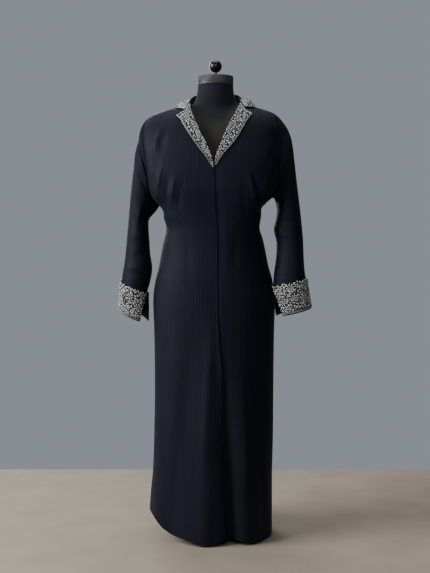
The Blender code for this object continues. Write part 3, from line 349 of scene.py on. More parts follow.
# Creases that are too small for the solids, each from its top to its foot, on the front (0) or the back
# (1). bend is how far its middle bows sideways; the fades are shares of its length.
CREASES = (
    "back top_x top_z foot_x foot_z half_width height bend top_fade foot_fade",
    (0, -0.127, 1.205, -0.144, 1.060, 0.0060, 0.0028, 0.003, 0.40, 0.55),
    (0, -0.170, 1.236, -0.192, 1.080, 0.0075, 0.0044, 0.003, 0.35, 0.50),
    (0, -0.148, 1.215, -0.164, 1.070, 0.0080, -0.0034, 0.002, 0.40, 0.55),
    (0, -0.196, 1.215, -0.206, 1.120, 0.0080, -0.0040, 0.003, 0.40, 0.50),
    (0, -0.104, 1.190, -0.120, 1.050, 0.0090, -0.0022, 0.004, 0.45, 0.50),
    (0, -0.168, 1.366, -0.204, 1.240, 0.0080, 0.0040, 0.004, 0.45, 0.45),
    (0, -0.150, 1.352, -0.182, 1.250, 0.0090, -0.0028, 0.004, 0.45, 0.45),
    (0, 0.098, 1.222, 0.146, 1.010, 0.0065, 0.0034, -0.005, 0.30, 0.55),
    (0, 0.116, 1.205, 0.158, 1.050, 0.0080, -0.0034, -0.004, 0.40, 0.50),
    (0, 0.160, 1.200, 0.168, 1.040, 0.0065, 0.0026, 0.002, 0.40, 0.50),
    (0, 0.080, 1.180, 0.098, 1.030, 0.0100, -0.0020, -0.003, 0.45, 0.50),
    (0, -0.215, 1.290, -0.150, 1.180, 0.0090, -0.0026, 0.006, 0.40, 0.60),
    (0, 0.205, 1.300, 0.142, 1.195, 0.0085, -0.0026, -0.006, 0.40, 0.60),
    (0, 0.118, 1.428, 0.206, 1.352, 0.0070, -0.0052, -0.005, 0.30, 0.30),
    (0, 0.132, 1.440, 0.214, 1.372, 0.0080, 0.0034, -0.005, 0.35, 0.35),
    (0, 0.188, 1.385, 0.204, 1.250, 0.0070, -0.0030, 0.003, 0.40, 0.40),
    (0, -0.205, 1.330, -0.135, 1.275, 0.0075, -0.0018, 0.004, 0.50, 0.60),
    (0, 0.196, 1.335, 0.130, 1.290, 0.0075, -0.0016, -0.004, 0.50, 0.60),
    (0, -0.148, 1.030, -0.132, 0.860, 0.0110, 0.0028, 0.003, 0.45, 0.60),
    (0, -0.100, 1.020, -0.082, 0.800, 0.0130, -0.0022, -0.003, 0.45, 0.60),
    (0, 0.136, 1.030, 0.124, 0.850, 0.0110, 0.0026, -0.003, 0.45, 0.60),
    (0, 0.070, 1.040, 0.060, 0.830, 0.0140, -0.0020, 0.003, 0.45, 0.60),
    (0, -0.205, 0.900, -0.182, 0.620, 0.0100, 0.0030, 0.003, 0.40, 0.60),
    (0, -0.150, 0.760, -0.168, 0.360, 0.0120, -0.0020, 0.004, 0.40, 0.50),
    (0, -0.112, 0.480, -0.104, 0.070, 0.0130, 0.0018, 0.004, 0.50, 0.30),
    (0, -0.008, 0.790, -0.046, 0.110, 0.0150, 0.0040, 0.002, 0.45, 0.40),
    (0, 0.014, 0.960, 0.026, 0.300, 0.0095, 0.0034, 0.001, 0.40, 0.45),
    (0, 0.098, 0.600, 0.130, 0.160, 0.0100, -0.0026, 0.004, 0.50, 0.40),
    (0, 0.086, 0.500, 0.092, 0.080, 0.0100, 0.0026, -0.004, 0.50, 0.35),
    (0, 0.165, 0.880, 0.176, 0.560, 0.0100, 0.0026, -0.003, 0.45, 0.55),
    (0, 0.150, 0.460, 0.172, 0.090, 0.0090, 0.0026, 0.003, 0.50, 0.35),
    (1, -0.180, 1.300, -0.060, 1.190, 0.0110, -0.0030, 0.010, 0.35, 0.60),
    (1, 0.176, 1.310, 0.070, 1.180, 0.0110, -0.0028, -0.010, 0.35, 0.60),
    (1, -0.192, 1.200, -0.086, 1.120, 0.0120, 0.0030, 0.008, 0.40, 0.55),
    (1, 0.180, 1.190, 0.100, 1.110, 0.0110, 0.0030, -0.008, 0.40, 0.55),
    (1, -0.150, 1.150, -0.040, 1.085, 0.0110, -0.0032, 0.010, 0.45, 0.55),
    (1, 0.146, 1.140, 0.030, 1.070, 0.0110, -0.0030, -0.010, 0.45, 0.55),
    (1, -0.128, 1.060, -0.030, 1.015, 0.0120, 0.0030, 0.008, 0.50, 0.50),
    (1, 0.118, 1.055, 0.036, 1.000, 0.0120, 0.0028, -0.008, 0.50, 0.50),
    (1, -0.112, 1.010, -0.120, 0.760, 0.0120, -0.0034, 0.004, 0.40, 0.55),
    (1, 0.096, 1.010, 0.106, 0.740, 0.0120, -0.0032, -0.004, 0.40, 0.55),
    (1, -0.040, 0.980, -0.046, 0.640, 0.0110, 0.0030, 0.004, 0.45, 0.55),
    (1, 0.036, 0.960, 0.048, 0.600, 0.0110, 0.0030, -0.004, 0.45, 0.55),
    (1, -0.150, 0.700, -0.170, 0.230, 0.0110, 0.0030, 0.004, 0.45, 0.40),
    (1, -0.052, 0.560, -0.050, 0.100, 0.0110, -0.0030, -0.004, 0.50, 0.35),
    (1, 0.092, 0.560, 0.118, 0.080, 0.0100, -0.0028, 0.004, 0.50, 0.35),
    (1, 0.150, 0.640, 0.168, 0.150, 0.0090, 0.0028, -0.004, 0.45, 0.40),
)

# Wrinkles of each sleeve, from a to b. around goes from the seam up the front, over the outer edge (0.5)
# and down the back; down goes from the armhole to the hem. Both are shares.
WRINKLE_FADES = (0.4, 0.5)  # at a and at b
HEAD_SEAM = 0.02  # this near the armhole the puckers run along it, and further down along the sleeve's seam
RIGHT_WRINKLES = (
    "around_a down_a around_b down_b half_width height",
    (0.06, 0.03, 0.34, 0.10, 0.0085, -0.0030),
    (0.04, 0.10, 0.30, 0.16, 0.0090, 0.0026),
    (0.05, 0.17, 0.28, 0.30, 0.0090, -0.0028),
    (0.28, 0.05, 0.36, 0.42, 0.0100, 0.0028),
    (0.40, 0.08, 0.44, 0.34, 0.0090, -0.0022),
    (0.12, 0.30, 0.24, 0.56, 0.0085, 0.0026),
    (0.04, 0.46, 0.34, 0.52, 0.0075, -0.0030),
    (0.06, 0.53, 0.38, 0.60, 0.0075, 0.0026),
    (0.05, 0.61, 0.30, 0.67, 0.0070, -0.0026),
    (0.10, 0.70, 0.40, 0.73, 0.0065, 0.0022),
    (0.55, 0.06, 0.62, 0.44, 0.0100, -0.0026),
    (0.70, 0.08, 0.76, 0.36, 0.0100, 0.0028),
    (0.66, 0.44, 0.92, 0.50, 0.0080, -0.0028),
    (0.60, 0.54, 0.90, 0.60, 0.0080, 0.0026),
    (0.62, 0.64, 0.88, 0.69, 0.0075, -0.0024),
)
LEFT_WRINKLES = (
    "around_a down_a around_b down_b half_width height",
    (0.05, 0.04, 0.36, 0.09, 0.0085, -0.0028),
    (0.04, 0.12, 0.28, 0.19, 0.0090, 0.0026),
    (0.06, 0.22, 0.26, 0.33, 0.0085, -0.0026),
    (0.30, 0.06, 0.38, 0.46, 0.0105, 0.0030),
    (0.42, 0.10, 0.46, 0.36, 0.0085, -0.0022),
    (0.14, 0.32, 0.22, 0.52, 0.0085, 0.0024),
    (0.04, 0.48, 0.36, 0.55, 0.0080, -0.0030),
    (0.05, 0.56, 0.40, 0.63, 0.0075, 0.0028),
    (0.06, 0.65, 0.32, 0.70, 0.0070, -0.0024),
    (0.56, 0.08, 0.60, 0.42, 0.0100, -0.0026),
    (0.70, 0.06, 0.78, 0.34, 0.0100, 0.0026),
    (0.64, 0.46, 0.94, 0.53, 0.0080, -0.0028),
    (0.60, 0.57, 0.88, 0.62, 0.0080, 0.0026),
    (0.64, 0.66, 0.90, 0.71, 0.0070, -0.0022),
)

# Mesh steps.
FRONT_COLUMNS, BACK_COLUMNS = 72, 116
SKIRT_ROWS, CHEST_ROWS = 120, 40  # below and above the underarm
SLEEVE_ROWS = 96
CUFF_ROWS = 18
LAPEL_COLUMNS, LAPEL_ROWS = 16, 60
COLLAR_LENGTHS, STAND_RINGS, FALL_RINGS = 120, 6, 16
TORSO_SIDES, TORSO_RINGS = 96, 84
ROUND_SIDES = 96
CORD_SIDES = 6
CURVE_STEPS = 320  # points on a section before it is spaced out evenly
CLOTH_CREASE, FORM_CREASE, CAP_CREASE, TURNED_CREASE = 50, 50, 40, 35  # sharper edges stay sharp (degrees)

FLOOR_HALF, FLOOR_NEAR, FLOOR_FAR = 1.7, -1.7, 1.0  # half width, and its near and far edges along Y
BACKDROP, BACKDROP_STRENGTH = "#899098", 1.0  # what shows behind the cloak
AMBIENT, AMBIENT_STRENGTH = "#b8c2d2", 0.14  # what lights it from all round
CAMERA_PLACE, CAMERA_DIP = (-0.0017, -3.2, 0.9), 1.25  # place, and degrees below level
LENS, SENSOR = 60.0, 36.0  # millimetres
AIM = Vector((0.0, 0.0, 0.85))  # what the lights point at
LIGHTS = (
    # name, place, size, watts, colour
    ("key", (-3.1, -1.2, 2.3), 2.4, 215.0, "#fafaff"),
    ("front", (0.2, -3.3, 2.4), 1.8, 30.0, "#f4f4ff"),
    ("top", (0.0, 0.3, 3.4), 1.6, 30.0, "#ffffff"),
    ("rear", (-1.2, 3.2, 2.2), 2.0, 70.0, "#ffffff"),
)


# ---------------------------------------------------------------- tables and curves


def columns(table):
    """A table's rows as a dictionary of arrays, one for each named column."""
    names, values = table[0].split(), np.array(table[1:], float)
    return {name: values[:, i] for i, name in enumerate(names)}


def smooth(at, knots, values):
    """Values between the knots on one smooth curve, with the slope at each knot from its neighbours."""
    knots, values = np.asarray(knots, float), np.asarray(values, float)
    at = np.clip(np.asarray(at, float), knots[0], knots[-1])
    slopes = np.gradient(values, knots)
    i = np.clip(np.searchsorted(knots, at, side="right") - 1, 0, len(knots) - 2)
    span = knots[i + 1] - knots[i]
    t = (at - knots[i]) / span
    return (
        values[i] * (1 + 2 * t) * (1 - t) ** 2
        + slopes[i] * span * t * (1 - t) ** 2
        + values[i + 1] * t * t * (3 - 2 * t)
        + slopes[i + 1] * span * t * t * (t - 1)
    )


def ease(t):
    """0 below 0, 1 above 1, and a smooth rise between."""
    t = np.clip(t, 0.0, 1.0)
    return t * t * (3 - 2 * t)


def spaced(curve, shares):
    """Points at these shares of a curve's length."""
    steps = np.linalg.norm(np.diff(curve[:, :3], axis=0), axis=1)
    length = np.concatenate([[0.0], np.cumsum(steps)])
    wanted = np.asarray(shares) * length[-1]
    return np.stack([np.interp(wanted, length, column) for column in curve.T], axis=1)


def unit(vectors):
    """The same directions with length 1."""
    return vectors / np.maximum(np.linalg.norm(vectors, axis=-1, keepdims=True), 1e-12)


def at_row(data, station):
    """Every column of a table at a station, which counts its rows and may lie between two of them."""
    rows = np.arange(len(next(iter(data.values()))))
    return {name: float(smooth(station, rows, values)) for name, values in data.items()}


def outward(points, inside):
    """The sheet's normals at each point of a grid, on the side away from the points in inside."""
    down, across = np.gradient(points, axis=0), np.gradient(points, axis=1)
    normals = unit(np.cross(across, down))
    turn = np.sum(normals * (points - inside)) < 0
    return -normals if turn else normals


def outward_round(points):
    """The same for a tube, away from the middle of each of its sections."""
    return outward(points, points.mean(axis=1, keepdims=True))


# ---------------------------------------------------------------- the cloak's surface

BODY_AT = columns(BODY)
BODY_TOP = len(BODY) - 2  # station of the shoulder seam; stations count the rows of BODY
EDGES_AT = columns(FRONT_EDGES)
LAPEL_AT = columns(LAPEL_EDGES)
HEM_AT = columns(HEM)
FOLDS_AT = columns(FOLDS)


def level(station):
    """Every column of BODY at a station."""
    return at_row(BODY_AT, station)


def station_of(z):
    """The station whose middle is at this height."""
    return float(np.interp(z, BODY_AT["mid_z"], np.arange(len(BODY) - 1)))


def section(station, back):
    """The front or back half of the body's outline at a station, from the wearer's right to the left.
    Each point has its place, its outward direction in plan and its distance from the nearer end."""
    row = level(station)
    part = "back" if back else "front"
    edge, depth, square = row[part + "_edge"], row[part], row[part + "_square"]
    turn = np.linspace(0.0, math.pi, CURVE_STEPS + 1)
    half = np.where(turn < math.pi / 2, row["right"], row["left"])
    x = -np.sign(np.cos(turn)) * half * np.abs(np.cos(turn)) ** (2 / square)
    y = edge + (depth - edge) * np.sin(turn) ** (2 / square)
    share = x / half
    z = row["mid_z"] + (row["side_z"] - row["mid_z"]) * np.abs(share) ** SHOULDER_BEND
    z = z + row["tilt"] * share
    if back:
        # Towards the top the back closes round the neck and lies flat along the shoulder seams.
        close = ease((station - (BODY_TOP - CLOSING_ROWS)) / CLOSING_ROWS)
        inside = np.clip(1 - (x / NECK_HALF) ** 2, 0, 1)
        shoulder = edge * np.clip((np.abs(x) - NECK_HALF) / (half - NECK_HALF), 0, 1)
        y = y + (depth * np.sqrt(inside) + shoulder - y) * close
        z = z - NECK_DIP * inside * close
    toward = 1.0 if back else -1.0
    z = z + hem_lift(x, row["side_z"], back)
    curve = np.stack([x, toward * y, z], axis=1)
    tangent = unit(np.gradient(curve[:, :2], axis=0))
    normal = np.stack([-tangent[:, 1], tangent[:, 0]], axis=1) * toward
    length = np.concatenate([[0.0], np.cumsum(np.linalg.norm(np.diff(curve, axis=0), axis=1))])
    from_end = np.minimum(length, length[-1] - length)
    return np.column_stack([curve, normal, from_end])


def hem_lift(x, nominal, back):
    """How far the hem's unevenness lifts a point whose level would be nominal."""
    lift = smooth(x, HEM_AT["x"], HEM_AT["back_lift" if back else "front_lift"])
    return lift * max(0.0, 1 - nominal / HEM_FADE) ** 2


def fold(line, nominal, back):
    """Moves points of a section in and out along their own normals, fold by fold, and then by the small
    creases and the swell of the seams."""
    x, push = line[:, 0], np.zeros(len(line))
    for i in range(len(FOLDS) - 1):
        one = {name: values[i] for name, values in FOLDS_AT.items()}
        if bool(one["back"]) != back:
            continue
        share = (one["top_z"] - nominal) / (one["top_z"] - one["foot_z"])
        centre = one["top_x"] + (one["foot_x"] - one["top_x"]) * share
        rise = ease((one["ends_z"] - nominal) / (one["ends_z"] - one["full_z"]))
        push += one["height"] * rise * np.exp(-(((x - centre) / one["half_width"]) ** 2))
    push *= ease(line[:, 5] / FOLD_CLEAR)
    points = line[:, :3].copy()
    points[:, :2] += line[:, 3:5] * push[:, None]
    return body_creases(line, points, back)


def along(station, back, x_from, x_to, shares):
    """Evenly spaced points of a section between two distances across, with the folds in them."""
    curve = section(station, back)
    kept = curve[(curve[:, 0] > x_from) & (curve[:, 0] < x_to)]
    ends = [[np.interp(x, curve[:, 0], column) for column in curve.T] for x in (x_from, x_to)]
    line = spaced(np.vstack([ends[:1], kept, ends[1:]]), shares)
    return fold(line, level(station)["side_z"], back)


def seam_point(side, back, station):
    """Where a panel ends at the side seam or the armhole. side is -1 for the wearer's right."""
    row = level(station)
    x, z = side * row["right" if side < 0 else "left"], row["side_z"] + side * row["tilt"]
    if station <= UNDERARM_ROW:
        return np.array([x, 0.0, z + float(hem_lift(x, z, back))])
    return np.array([x, row["back_edge"] if back else -row["front_edge"], z])


def armhole(side):
    """The armhole as a loop of seam points, up the front from the underarm and down the back to it.
    Front, back and sleeve all take their points, directions and gaps there from this loop."""
    up = [station for station in body_rows() if station >= UNDERARM_ROW]
    stops = [(False, station) for station in up] + [(True, station) for station in up[::-1]]
    points = np.array([seam_point(side, back, station) for back, station in stops])
    ring = np.delete(points, len(up), axis=0)[:-1]
    tangent = unit(np.roll(ring, -1, axis=0) - np.roll(ring, 1, axis=0))
    tangent = np.insert(np.vstack([tangent, tangent[:1]]), len(up), tangent[len(up) - 1], axis=0)
    chord = points[len(up)] - points[0]
    found = {}
    for (back, station), point, way in zip(stops, points, tangent):
        share = float(np.clip((point - points[0]) @ chord / (chord @ chord), 0, 1))
        climb = math.acos(1 - 2 * share) / math.pi
        depth = (1 if back else -1) * math.sin(math.pi * climb)
        up_x, up_z = TIP_NORMAL if climb > 0.5 else UNDERARM_NORMAL
        near_end = abs(math.cos(math.pi * climb))
        x_part = ARMHOLE_TURN + (up_x - ARMHOLE_TURN) * near_end
        out = unit(np.array([side * x_part, ARMHOLE_TURN * depth, up_z * near_end]))
        across = unit(np.cross(way, out))
        across = across if across[0] * side > 0 else -across
        found[back, station] = (point, points[0] + chord * share, climb, across, out)
    return found


# ---------------------------------------------------------------- finishes


def srgb(code):
    """A display colour such as #c8c5bb as the linear values that a shader wants."""
    parts = [int(code[i : i + 2], 16) / 255 for i in (1, 3, 5)]
    return tuple(p / 12.92 if p <= 0.04045 else ((p + 0.055) / 1.055) ** 2.4 for p in parts) + (1.0,)


def finish(name, **sockets):
    """A new material and its node tree, with these constant sockets of its shader set."""
    material = bpy.data.materials.new(name)
    material.use_nodes = True
    shader = material.node_tree.nodes["Principled BSDF"]
    for socket, value in sockets.items():
        shader.inputs[socket.replace("_", " ")].default_value = value
    return material, material.node_tree


def surfaced(material, colour, roughness, relief=None):
    """Links a material's colour, roughness and relief to its shader."""
    tree = material.node_tree
    shader = tree.nodes["Principled BSDF"]
    for socket, output in (("Base Color", colour), ("Roughness", roughness), ("Normal", relief)):
        if output is not None:
            tree.links.new(output, shader.inputs[socket])
    return material


def node(tree, kind, inputs=(), stops=(), **settings):
    """Adds a node with its settings and links, and gives its outputs. An input is a constant or another
    node's output. stops are a ramp's two ends, each a position and a colour code or a grey value."""
    made = tree.nodes.new(kind)
    for name, value in settings.items():
        setattr(made, name, value)
    for socket, value in dict(inputs).items():
        if isinstance(value, bpy.types.NodeSocket):
            tree.links.new(value, made.inputs[socket])
        else:
            made.inputs[socket].default_value = value
    for i, (position, value) in enumerate(stops):
        stop = made.color_ramp.elements[i]
        stop.position = position
        stop.color = srgb(value) if isinstance(value, str) else (value, value, value, 1.0)
    return made.outputs


def crepe_finish():
    """Black rib-striped abaya crepe: matt grainy ground with a raised, slightly lustrous satin rib every
    six millimetres, so it reads as fine vertical lines that catch the light along each fold."""
    material, tree = finish(
        "black_rib_crepe", Specular_IOR_Level=0.12, Sheen_Weight=0.015, Sheen_Roughness=0.45
    )
    cut_place = node(tree, "ShaderNodeUVMap", uv_map="cloth")["UV"]
    place = node(tree, "ShaderNodeTexCoord")["Object"]
    rib = node(tree, "ShaderNodeTexWave", {"Vector": cut_place, "Scale": WAVE_PERIOD / RIB_PITCH})["Fac"]
    grain = node(tree, "ShaderNodeTexNoise",
                 {"Vector": place, "Scale": 1 / CREPE_GRAIN, "Detail": 2.0})["Fac"]
    cloud = node(tree, "ShaderNodeTexNoise",
                 {"Vector": place, "Scale": 1 / CREPE_CLOUD, "Detail": 3.0})["Fac"]
    tone = node(tree, "ShaderNodeValToRGB", {"Fac": rib}, ((0.30, "#10121b"), (0.80, "#181c29")))["Color"]
    worn = node(tree, "ShaderNodeValToRGB", {"Fac": cloud}, ((0.30, 0.82), (0.75, 1.10)))["Color"]
    colour = node(tree, "ShaderNodeMix", {"Factor": 1.0, "A": tone, "B": worn}, data_type="RGBA",
                  blend_type="MULTIPLY")[2]
    roughness = node(tree, "ShaderNodeValToRGB", {"Fac": rib}, ((0.25, 0.72), (0.85, 0.50)))["Color"]
    grit = node(tree, "ShaderNodeBump", {"Height": grain, "Distance": 0.00010, "Strength": 0.6})["Normal"]
    relief = node(tree, "ShaderNodeBump",
                  {"Height": rib, "Distance": 0.00045, "Strength": 0.9, "Normal": grit})["Normal"]
    return surfaced(material, colour, roughness, relief)


def ground_finish():
    """Dull black satin under the embroidery, so the pale stitches stand out on it."""
    material, tree = finish("black_trim_satin", Specular_IOR_Level=0.16, Sheen_Weight=0.02)
    place = node(tree, "ShaderNodeTexCoord")["Object"]
    grain = node(tree, "ShaderNodeTexNoise",
                 {"Vector": place, "Scale": 1 / SATIN_GRAIN, "Detail": 2.0})["Fac"]
    colour = node(tree, "ShaderNodeValToRGB", {"Fac": grain}, ((0.3, "#0b0c0f"), (0.7, "#15161a")))["Color"]
    roughness = node(tree, "ShaderNodeValToRGB", {"Fac": grain}, ((0.3, 0.62), (0.7, 0.80)))["Color"]
    grit = node(tree, "ShaderNodeBump", {"Height": grain, "Distance": 0.00012, "Strength": 0.6})["Normal"]
    return surfaced(material, colour, roughness, grit)


def thread_finish(name, light, dark, roughness, metallic, slant=0.0):
    """Embroidery thread: close satin stitches across each petal or cord, light on their crowns and painted
    darker between as painted shade in the grooves, with a soft sheen."""
    material, tree = finish(name, Metallic=metallic, Sheen_Weight=0.12)
    cut_place = node(tree, "ShaderNodeUVMap", uv_map="cloth")["UV"]
    slanted = node(tree, "ShaderNodeMapping", {"Vector": cut_place, "Rotation": (0.0, 0.0, slant)})
    stitch = node(tree, "ShaderNodeTexWave",
                  {"Vector": slanted["Vector"], "Scale": WAVE_PERIOD / THREAD_PITCH})["Fac"]
    # Painted shade: the dark end of this ramp darkens the grooves between the stitches.
    colour = node(tree, "ShaderNodeValToRGB", {"Fac": stitch}, ((0.15, dark), (0.65, light)))["Color"]
    rough = node(tree, "ShaderNodeValToRGB", {"Fac": stitch},
                 ((0.2, roughness + 0.18), (0.8, roughness)))["Color"]
    relief = node(tree, "ShaderNodeBump",
                  {"Height": stitch, "Distance": 0.00012, "Strength": 0.8})["Normal"]
    return surfaced(material, colour, rough, relief)


def jersey_finish():
    """Dark stretch jersey pulled smooth over the form: very fine loops, matt, a little paler where worn.
    The neck is painted blue-black as painted shade from the neck, and meets the warmer jersey of the chest
    in a soft edge."""
    material, tree = finish(
        "black_form_jersey", Specular_IOR_Level=0.18, Sheen_Weight=0.06, Sheen_Roughness=0.5
    )
    place = node(tree, "ShaderNodeTexCoord")["Object"]
    worn = node(tree, "ShaderNodeTexNoise",
                {"Vector": place, "Scale": 1 / JERSEY_CLOUD, "Detail": 3.0})["Fac"]
    chest = node(tree, "ShaderNodeValToRGB", {"Fac": worn}, ((0.3, "#2a2825"), (0.75, "#393631")))["Color"]
    # Painted shade: the neck and the top of the chest are coloured darker and bluer than the rest of the
    # jersey.
    neck = node(tree, "ShaderNodeValToRGB", {"Fac": worn}, ((0.3, "#16181d"), (0.75, "#20222a")))["Color"]
    axes = node(tree, "ShaderNodeSeparateXYZ", {"Vector": place})
    square = node(tree, "ShaderNodeMath", {0: axes["X"], 1: axes["X"]}, operation="MULTIPLY")[0]
    # The painted shade's edge runs round: it is lowest at the middle.
    edge = node(tree, "ShaderNodeMath", {0: square, 1: -SHADE_EDGE_ROUND, 2: axes["Z"]},
                operation="MULTIPLY_ADD")[0]
    low, high = NECK_SHADE_HEIGHTS
    upper = node(tree, "ShaderNodeMapRange", {"Value": edge, "From Min": low, "From Max": high})["Result"]
    colour = node(tree, "ShaderNodeMixRGB", {"Fac": upper, "Color1": chest, "Color2": neck})["Color"]
    roughness = node(tree, "ShaderNodeValToRGB", {"Fac": worn}, ((0.3, 0.78), (0.7, 0.90)))["Color"]
    loops = node(tree, "ShaderNodeTexWave",
                 {"Vector": place, "Scale": WAVE_PERIOD / LOOP_PITCH, "Distortion": 0.6, "Detail": 1.0,
                  "Detail Scale": 1.2})["Fac"]
    relief = node(tree, "ShaderNodeBump",
                  {"Height": loops, "Distance": 0.00012, "Strength": 0.5})["Normal"]
    return surfaced(material, colour, roughness, relief)


def metal_finish(name, light, dark, roughness, brush, patina=0.0, metallic=1.0):
    """Turned metal: fine brush rings and, where it is old, cloudy darker patina that dulls the shine."""
    material, tree = finish(name, Metallic=metallic)
    place = node(tree, "ShaderNodeTexCoord")["Object"]
    cloud = node(tree, "ShaderNodeTexNoise",
                 {"Vector": place, "Scale": 1 / PATINA_CLOUD, "Detail": 5.0, "Roughness": 0.62})["Fac"]
    colour = node(tree, "ShaderNodeValToRGB", {"Fac": cloud},
                  ((0.62 - patina, light), (0.68, dark)))["Color"]
    rough = node(tree, "ShaderNodeValToRGB", {"Fac": cloud},
                 ((0.3, roughness), (0.75, roughness + 0.22)))["Color"]
    rings = node(tree, "ShaderNodeTexWave",
                 {"Vector": place, "Scale": WAVE_PERIOD / brush, "Distortion": 1.5, "Detail": 1.0,
                  "Detail Scale": 1.2}, bands_direction="Z")["Fac"]
    relief = node(tree, "ShaderNodeBump",
                  {"Height": rings, "Distance": 0.00004, "Strength": 0.4})["Normal"]
    return surfaced(material, colour, rough, relief)


def lacquer_finish():
    """Deep black gloss lacquer on the knob, with the faintest warm bloom and orange peel."""
    material, tree = finish(
        "black_gloss_lacquer", Coat_Weight=0.12, Coat_Roughness=0.18, Specular_IOR_Level=0.35
    )
    place = node(tree, "ShaderNodeTexCoord")["Object"]
    peel = node(tree, "ShaderNodeTexNoise",
                {"Vector": place, "Scale": 1 / LACQUER_PEEL, "Detail": 1.0})["Fac"]
    colour = node(tree, "ShaderNodeValToRGB", {"Fac": peel}, ((0.3, "#120d0d"), (0.8, "#1c1212")))["Color"]
    roughness = node(tree, "ShaderNodeValToRGB", {"Fac": peel}, ((0.3, 0.26), (0.8, 0.34)))["Color"]
    relief = node(tree, "ShaderNodeBump",
                  {"Height": peel, "Distance": 0.00003, "Strength": 0.3})["Normal"]
    return surfaced(material, colour, roughness, relief)


def floor_finish():
    """Pale matt paper floor, faintly mottled."""
    material, tree = finish("pale_paper", Specular_IOR_Level=0.2)
    place = node(tree, "ShaderNodeTexCoord")["Object"]
    fibre = node(tree, "ShaderNodeTexNoise",
                 {"Vector": place, "Scale": 1 / PAPER_CLOUD, "Detail": 6.0})["Fac"]
    colour = node(tree, "ShaderNodeValToRGB", {"Fac": fibre}, ((0.3, "#948a7b"), (0.7, "#a09585")))["Color"]
    roughness = node(tree, "ShaderNodeValToRGB", {"Fac": fibre}, ((0.3, 0.80), (0.7, 0.92)))["Color"]
    return surfaced(material, colour, roughness)


CREPE = crepe_finish()
TRIM_GROUND = ground_finish()
THREADS = (
    # The second colour of each thread is its painted shade between the stitches.
    thread_finish("ivory_satin_stitch", "#efefeb", "#a9a8a3", 0.42, 0.0),
    thread_finish("rose_grey_stitch", "#a98f8b", "#6a5654", 0.48, 0.0),
    thread_finish("shadow_grey_stitch", "#8f8f8a", "#54554f", 0.48, 0.0),
    thread_finish("silver_cord", "#d6d5cf", "#7c7c78", 0.34, 0.35, slant=0.7),
)
JERSEY = jersey_finish()
PEWTER = metal_finish("aged_pewter", "#595651", "#41383a", 0.56, 0.0016, patina=0.30, metallic=0.5)
STEEL = metal_finish("satin_steel", "#a9a9aa", "#8f9092", 0.30, 0.0008)
LACQUER = lacquer_finish()
FLOOR = floor_finish()


# ---------------------------------------------------------------- creases, puckers and seams


def crease(points, across, down, push_way, lines):
    """Adds lines of soft ridges and troughs. across and down place each point, and each line has its two
    ends, half width, height, bend and fades."""
    push = np.zeros(across.shape)
    for a, b, half_width, height, bend, top_fade, foot_fade in lines:
        start, way = np.array(a), np.array(b) - np.array(a)
        size = np.linalg.norm(way)
        share = ((across - start[0]) * way[0] + (down - start[1]) * way[1]) / size**2
        off = ((across - start[0]) * way[1] - (down - start[1]) * way[0]) / size
        off = off - bend * np.sin(math.pi * np.clip(share, 0, 1))
        rise = ease(share / top_fade) * ease((1 - share) / foot_fade)
        push += height * rise * np.exp(-((off / half_width) ** 2))
    return points + push_way * push[..., None]


def seam_swell(along_seam, from_seam):
    """How far the cloth stands up beside a seam, with its puckers."""
    ripple = PUCKER * np.sin(math.tau * along_seam / PUCKER_PITCH) * np.exp(-from_seam / PUCKER_REACH)
    return ease(from_seam / SEAM_WIDTH) * (SEAM_RISE + ripple)


def body_creases(line, points, back):
    """The small creases of a section, its swell beside the seams and the puckers along them."""
    lines = [(row[1:3], row[3:5], *row[5:]) for row in CREASES[1:] if bool(row[0]) == back]
    way = np.column_stack([line[:, 3:5], np.zeros(len(line))])
    clear = ease(line[:, 5] / FOLD_CLEAR)[:, None]
    points = crease(points, line[:, 0], line[:, 2], way * clear, lines)
    return points + way * seam_swell(line[:, 2], line[:, 5])[:, None]


def wrinkled(points, normals, table):
    """A sleeve's points with its wrinkles, its swell beside the seams and the puckers round its head."""
    girth = np.linalg.norm(np.diff(points, axis=1), axis=2).sum(axis=1).mean()
    length = np.linalg.norm(np.diff(points, axis=0), axis=2).sum(axis=0).mean()
    down, around = np.meshgrid(
        np.linspace(0, 1, points.shape[0]) * length, np.linspace(0, 1, points.shape[1]) * girth,
        indexing="ij",
    )
    lines = [
        ((a * girth, b * length), (c * girth, d * length), width, height, 0.0, *WRINKLE_FADES)
        for a, b, c, d, width, height in table[1:]
    ]
    from_edge = np.minimum(around, girth - around)
    fade = ease(from_edge / FOLD_CLEAR) * ease(down / FOLD_CLEAR)
    points = crease(points, around, down, normals * fade[..., None], lines)
    swell = seam_swell(np.where(down < HEAD_SEAM, around, down), np.minimum(from_edge, down))
    return points + normals * swell[..., None]


# ---------------------------------------------------------------- cloth pieces


def body_rows():
    """Stations of the mesh rows: one is at the underarm, and they lie closer above it."""
    skirt = np.linspace(0, UNDERARM_ROW, SKIRT_ROWS + 1)
    chest = np.linspace(UNDERARM_ROW, BODY_TOP, CHEST_ROWS + 1)
    return skirt.tolist() + chest[1:].tolist()


def right_side(row):
    """Where a level ends on the wearer's right."""
    return -row["right"]


def left_side(row):
    """Where it ends on the left."""
    return row["left"]


def panel_grid(back, x_from, x_to, count):
    """Points of a body panel. x_from and x_to give its two edges at a level."""
    shares = np.linspace(0, 1, count + 1)
    rows = []
    for station in body_rows():
        row = level(station)
        rows.append(along(station, back, x_from(row), x_to(row), shares))
    return np.array(rows)


